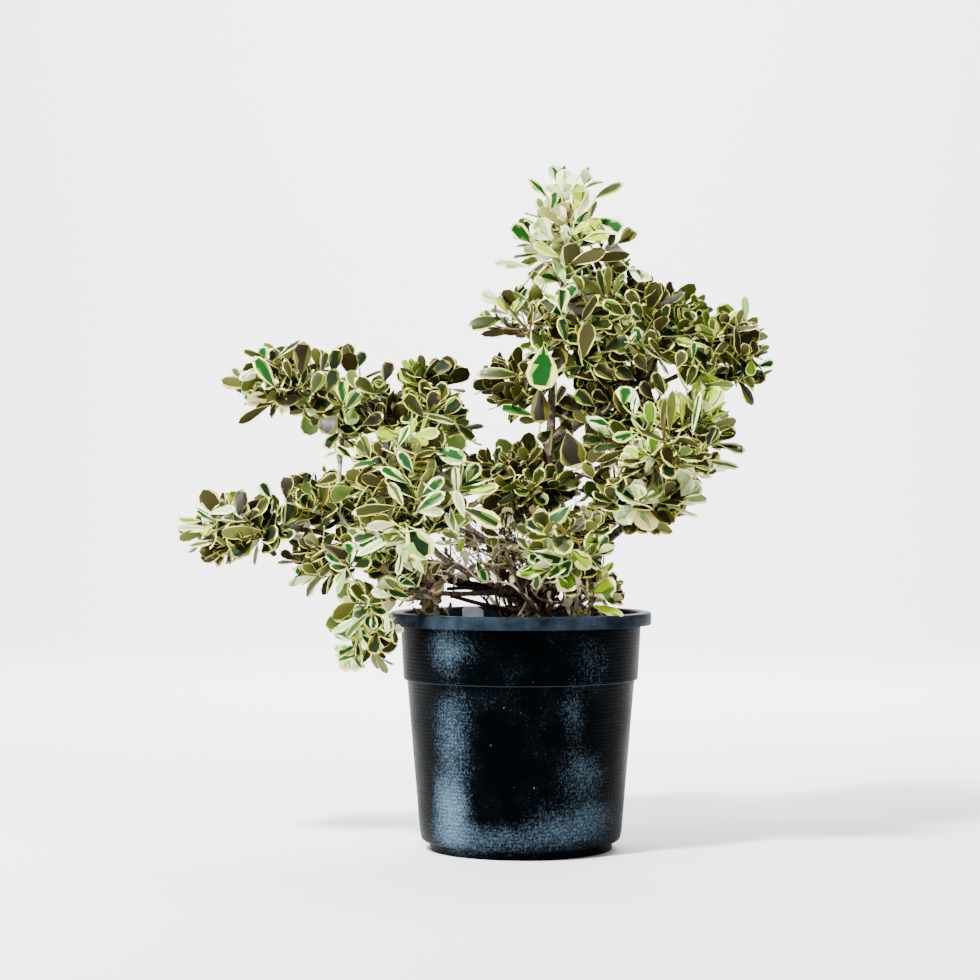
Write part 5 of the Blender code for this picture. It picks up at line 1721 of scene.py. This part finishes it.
@dataclass
class Thicket:
    """Thin stems and bare twigs round the plant's foot, with dry leaves caught in them and on the soil."""

    skeleton: Skeleton
    soil: Soil
    stems: int = 32
    stem_lengths: tuple[float, float] = (0.08, 0.17)
    stem_radii: tuple[float, float] = (0.0014, 0.0028)
    foot: float = 0.052  # how far from the trunk the thin stems rise
    foot_gap: float = 0.006
    twigs: int = 90
    twig_lengths: tuple[float, float] = (0.045, 0.12)
    twig_radii: tuple[float, float] = (0.0009, 0.0015)
    side_lengths: tuple[float, float] = (0.015, 0.05)
    bends: int = 9  # in a twig
    left_pull: float = 0.25  # how much the thicket leans to the left
    caught: int = 300  # dry leaves on the twigs,
    fallen: int = 150  # on the soil
    heap: int = 300  # and heaped at the left of it
    heap_span: tuple[float, float] = (-0.130, -0.090)
    heap_height: float = 0.078
    dry_leaf: tuple[float, float] = (0.012, 0.026)
    open_side: tuple[float, float] = (-0.092, -0.018)  # where the soil and the label are left in view
    open_depth: float = 0.02
    open_height: float = 0.302
    rim: float = 0.278  # below this height a twig stays within the pot,
    pot_radius: float = 0.128
    ceiling: float = 0.405  # and above it under the crown,
    reach: float = 0.175
    right_end: float = 0.10
    blade: LeafBlade = LeafBlade(thickness=0.0004)

    def twig_line(self, start: Array, heading: Array, length: float, rng: np.random.Generator) -> Array:
        """A crooked twig: each step turns a little at random and slightly up.

        Args:
            start: where it starts.
            heading: the way that it sets out.
            length: its length.
            rng: the source of chance.

        Returns:
            Its points.
        """
        line, step = [start], length / self.bends
        for _ in range(self.bends):
            heading = unit(heading + rng.normal(0, 0.24, 3) + 0.05 * UP)
            line.append(line[-1] + heading * step)
        return np.array(line)

    def keeps_inside(self, line: Array) -> bool:
        """Whether a twig keeps off the pot and the soil, under the crown and out of the open side.

        Args:
            line: its points.

        Returns:
            True if all of them do.
        """
        across, height = np.linalg.norm(line[:, :2], axis=1), line[:, 2]
        in_pot = (height >= self.rim) | (across < self.pot_radius)
        under = (height > SOIL_TOP - 0.004) & (height < self.ceiling)
        near = (across < self.reach) & (line[:, 0] < self.right_end)
        return bool((in_pot & under & near & ~self.shades_soil(line)).all())

    def shades_soil(self, points: Array) -> Array:
        """Which points would stand in front of the open soil."""
        (near, far), (x, y, z) = self.open_side, points.T
        return (x > near) & (x < far) & (y < self.open_depth) & (z < self.open_height)

    def add_twig(
        self, buffer: MeshBuffer, line: Array, thick: float, rng: np.random.Generator
    ) -> list[Array]:
        """Adds a twig and its side twigs.

        Args:
            buffer: where they go.
            line: the twig.
            thick: its radius at the foot.
            rng: the source of chance.

        Returns:
            Their lines.
        """
        lines = [line]
        pale = int(rng.random() < 0.5)
        buffer.add_tube(line, np.linspace(thick, 0.45 * thick, len(line)), 7, pale)
        for _ in range(int(rng.integers(1, 5))):
            at, ahead = point_at(line, rng.uniform(0.25, 0.95))
            heading = unit(ahead + rng.normal(0, 0.8, 3))
            side = self.twig_line(at, heading, rng.uniform(*self.side_lengths), rng)
            if self.keeps_inside(side):
                lines.append(side)
                buffer.add_tube(side, np.linspace(0.6 * thick, 0.4 * thick, len(side)), 5, pale)
        return lines

    def rising(self, rng: np.random.Generator) -> Array:
        """A thin stem that rises from the soil round the trunk and leans outwards.

        Args:
            rng: the source of chance.

        Returns:
            Its points.
        """
        reach, out = strewn(rng, self.foot)
        start = np.array([*TRUNK_FOOT, SOIL_TOP - 0.003]) + out * (self.foot_gap + reach)
        spread = out * rng.uniform(0.3, 1.5) * np.array([1.0, 0.7, 0.0])
        heading = unit(spread + UP + np.array([-self.left_pull, 0, 0]))
        return self.twig_line(start, heading, rng.uniform(*self.stem_lengths), rng)

    def branching(self, rng: np.random.Generator) -> Array:
        """A bare twig from one of the low limbs.

        Args:
            rng: the source of chance.

        Returns:
            Its points.
        """
        limb = list(TWIGGY)[int(rng.integers(len(TWIGGY)))]
        start, along = point_at(self.skeleton.lines[limb], rng.uniform(0.03, TWIGGY[limb]))
        spread = rng.normal(0, 1, 3) * np.array([1.0, 0.8, 0.7]) + 0.25 * along
        heading = unit(spread + np.array([-self.left_pull, 0, 0.1]))
        return self.twig_line(start, heading, rng.uniform(*self.twig_lengths), rng)

    def build(self) -> None:
        """Makes the thick dead stems, the thin stems, the twigs on the low limbs and the dry leaves."""
        rng = np.random.default_rng(31)
        buffer, lines = MeshBuffer(), []
        for points, first, last, pale in DEAD_STEMS:
            line = smooth_line(list(np.array(points) / 1000), 0.006)
            lines.append(line)
            buffer.add_tube(line, np.linspace(first, last, len(line)) / 1000, 8, pale)
        # A twig's first point lies in its limb, so only the rest of it has to keep inside.
        for wanted, sprout, radii, skipped in (
            (self.stems, self.rising, self.stem_radii, 0), (self.twigs, self.branching, self.twig_radii, 1)
        ):
            made = 0
            while made < wanted:
                line = sprout(rng)
                if self.keeps_inside(line[skipped:]):
                    lines += self.add_twig(buffer, line, rng.uniform(*radii), rng)
                    made += 1
        settle(buffer.build("bare_twigs", [DEAD_TWIG, PALE_TWIG]), [])
        self.build_dry_leaves(lines, rng)

    def build_dry_leaves(self, lines: list[Array], rng: np.random.Generator) -> None:
        """Hangs dry leaves on the twigs, strews others on the soil and heaps some at the left.

        Args:
            lines: the twigs.
            rng: the source of chance.
        """
        rows = []
        for _ in range(self.caught):
            line = lines[int(rng.integers(len(lines)))]
            root, ahead = point_at(line, rng.uniform(0.2, 1.0))
            along = unit(ahead + rng.normal(0, 0.7, 3) - 0.2 * UP)
            rows.append((root, along, rng.normal(0, 1, 3)))
        for _ in range(self.fallen):
            reach, out = strewn(rng, 0.105)
            x, y, _ = reach * out
            root = np.array([x, y, float(self.soil.height(np.array(x), np.array(y))) + 0.0035])
            along = unit(np.array([*rng.normal(0, 1, 2), 0.12]))
            rows.append((root, along, UP + rng.normal(0, 0.35, 3)))
        for _ in range(self.heap):
            x, y = rng.uniform(*self.heap_span), rng.normal(-0.018, 0.022)
            root = np.array([x, y, SOIL_TOP + 0.004 + self.heap_height * rng.random()])
            along = unit(rng.normal(0, 1, 3) * np.array([1.0, 1.0, 0.5]))
            rows.append((root, along, UP + rng.normal(0, 0.8, 3)))
        root, along, upper = (np.array(column) for column in zip(*rows))
        upper = unit(upper - along * (upper * along).sum(-1, keepdims=True))
        n = len(root)
        leaves = LeafSpec(
            root=root, along=along, upper=upper, length=rng.uniform(*self.dry_leaf, n),
            width=rng.uniform(0.35, 0.6, n), bend=rng.normal(0, 1.3, n), fold=rng.uniform(0.1, 1.1, n),
            roll=rng.uniform(-0.3, 0.5, n), wave=rng.uniform(0.1, 0.4, n), twist=rng.normal(0, 0.8, n),
            edge=np.full(n, 0.3), tones=(rng.random((n, 4)) < 0.4).astype(int),
        )
        tips = root + along * leaves.length[:, None]
        across = np.maximum(np.linalg.norm(root[:, :2], axis=1), np.linalg.norm(tips[:, :2], axis=1))
        low = np.minimum(root[:, 2], tips[:, 2]) < self.rim + 0.004
        shading = self.shades_soil(root) | self.shades_soil(tips)
        leaves = leaves.chosen((~low | (across < self.pot_radius - 0.004)) & ~shading)
        buffer = MeshBuffer()
        self.blade.add_to(buffer, leaves, 8)
        # Dry leaves have two tones only, and their stalks take the second.
        buffer.slots = [np.clip(slots, 0, 1) for slots in buffer.slots]
        settle(buffer.build("dry_leaves", DRY_TONES, sharp=100), [])


# ---------------------------------------------------------------- stage, light and camera


@dataclass
class Studio:
    """A pale sweep, soft light and the camera."""

    lens: float = 95.9
    eye: tuple[float, float, float] = (-0.0353, -3.0, 0.4114)
    white: str = "#fbfbfb"
    half_width: float = 2.3
    bend: tuple[float, float] = (4.0, 1.5)  # where the floor starts to rise, and the radius of its curve
    # Each lamp's name, its place, the point that it faces, its width and height, and its power in watts.
    lamps: tuple = (
        ("key", (-1.15, -1.35, 2.5), (0.0, 0.0, 0.45), (0.30, 0.30), 265),
        ("left_strip", (-1.85, -0.50, 0.55), (0.0, 0.0, 0.2), (0.28, 1.1), 60),
        ("right_strip", (1.45, -1.25, 0.5), (0.0, 0.0, 0.2), (0.22, 0.9), 20),
        ("back", (0.7, 2.4, 1.9), (0.0, 0.0, 0.45), (1.2, 1.2), 45),
        ("wall_wash", (0.0, 1.9, 3.4), (0.0, 5.0, 0.6), (4.0, 1.2), 760),
    )

    def sweep(self) -> None:
        """The floor, curving up into a wall well behind the plant."""
        start, radius = self.bend
        bend = [(start + radius * math.sin(a), radius - radius * math.cos(a))
                for a in np.linspace(0, math.pi / 2, 13)]
        profile = np.array([(-8.0, 0.0), *bend, (start + radius, 9.0)])
        left = np.column_stack([np.full(len(profile), -self.half_width), profile])
        right = np.column_stack([np.full(len(profile), self.half_width), profile])
        points = np.vstack([left, right])
        n = len(profile)
        k = np.arange(n - 1)
        buffer = MeshBuffer()
        buffer.add(points, np.stack([k, n + k, n + k + 1, k + 1], axis=-1))
        floor = buffer.build("floor", [PlainFinish("studio_paper", self.white, 0.9, 0.0)])

    def lamp(self, name: str, place: tuple, target: tuple, size: tuple[float, float], power: float) -> None:
        """An area light that faces a point.

        Args:
            name: its name.
            place: where it stands.
            target: the point that it faces.
            size: its width and height in metres.
            power: its power in watts.
        """
        data = bpy.data.lights.new(name, "AREA")
        data.shape, data.size, data.size_y, data.energy = "RECTANGLE", *size, power
        lamp = bpy.data.objects.new(name, data)
        lamp.location = place
        aim = np.array(target) - np.array(place)
        flat = math.hypot(aim[0], aim[1])
        lamp.rotation_euler = (math.atan2(flat, -aim[2]), 0.0, math.atan2(-aim[0], aim[1]))
        bpy.context.scene.collection.objects.link(lamp)

    def sky(self) -> None:
        """A white room that is darker behind the camera, so that glossy fronts keep their depth."""
        world = bpy.data.worlds.new("white_room")
        bpy.context.scene.world = world
        world.use_nodes = True
        tree = world.node_tree
        way = add_node(tree, "ShaderNodeTexCoord")
        back = add_node(tree, "ShaderNodeSeparateXYZ", {"Vector": way}, "Y")
        level = add_node(tree, RANGE, stretch(back, -0.1, 0.9, 0.04, 0.9))
        tree.nodes["Background"].inputs["Color"].default_value = (1.0, 1.0, 1.0, 1.0)
        tree.links.new(level, tree.nodes["Background"].inputs["Strength"])

    def build(self) -> None:
        """Sets the sweep, the lamps, the sky and the camera."""
        self.sweep()
        for lamp in self.lamps:
            self.lamp(*lamp)
        self.sky()
        data = bpy.data.cameras.new("camera")
        data.lens = self.lens
        camera = bpy.data.objects.new("camera", data)
        camera.location = self.eye
        camera.rotation_euler = (math.pi / 2, 0.0, 0.0)
        bpy.context.scene.collection.objects.link(camera)
        bpy.context.scene.camera = camera


def main() -> None:
    """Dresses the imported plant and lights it."""
    logging.basicConfig(level=logging.INFO, format="%(message)s")
    skeleton = Skeleton()
    skeleton.build()
    Crown(skeleton).build()
    Pot().build()
    soil = Soil()
    soil.build()
    Thicket(skeleton, soil).build()
    label = frame["nodes"]["label"]
    label.data.materials.clear()
    label.data.materials.append(material_of(LABEL_PLASTIC))
    Studio().build()


if __name__ == "__main__":
    main()
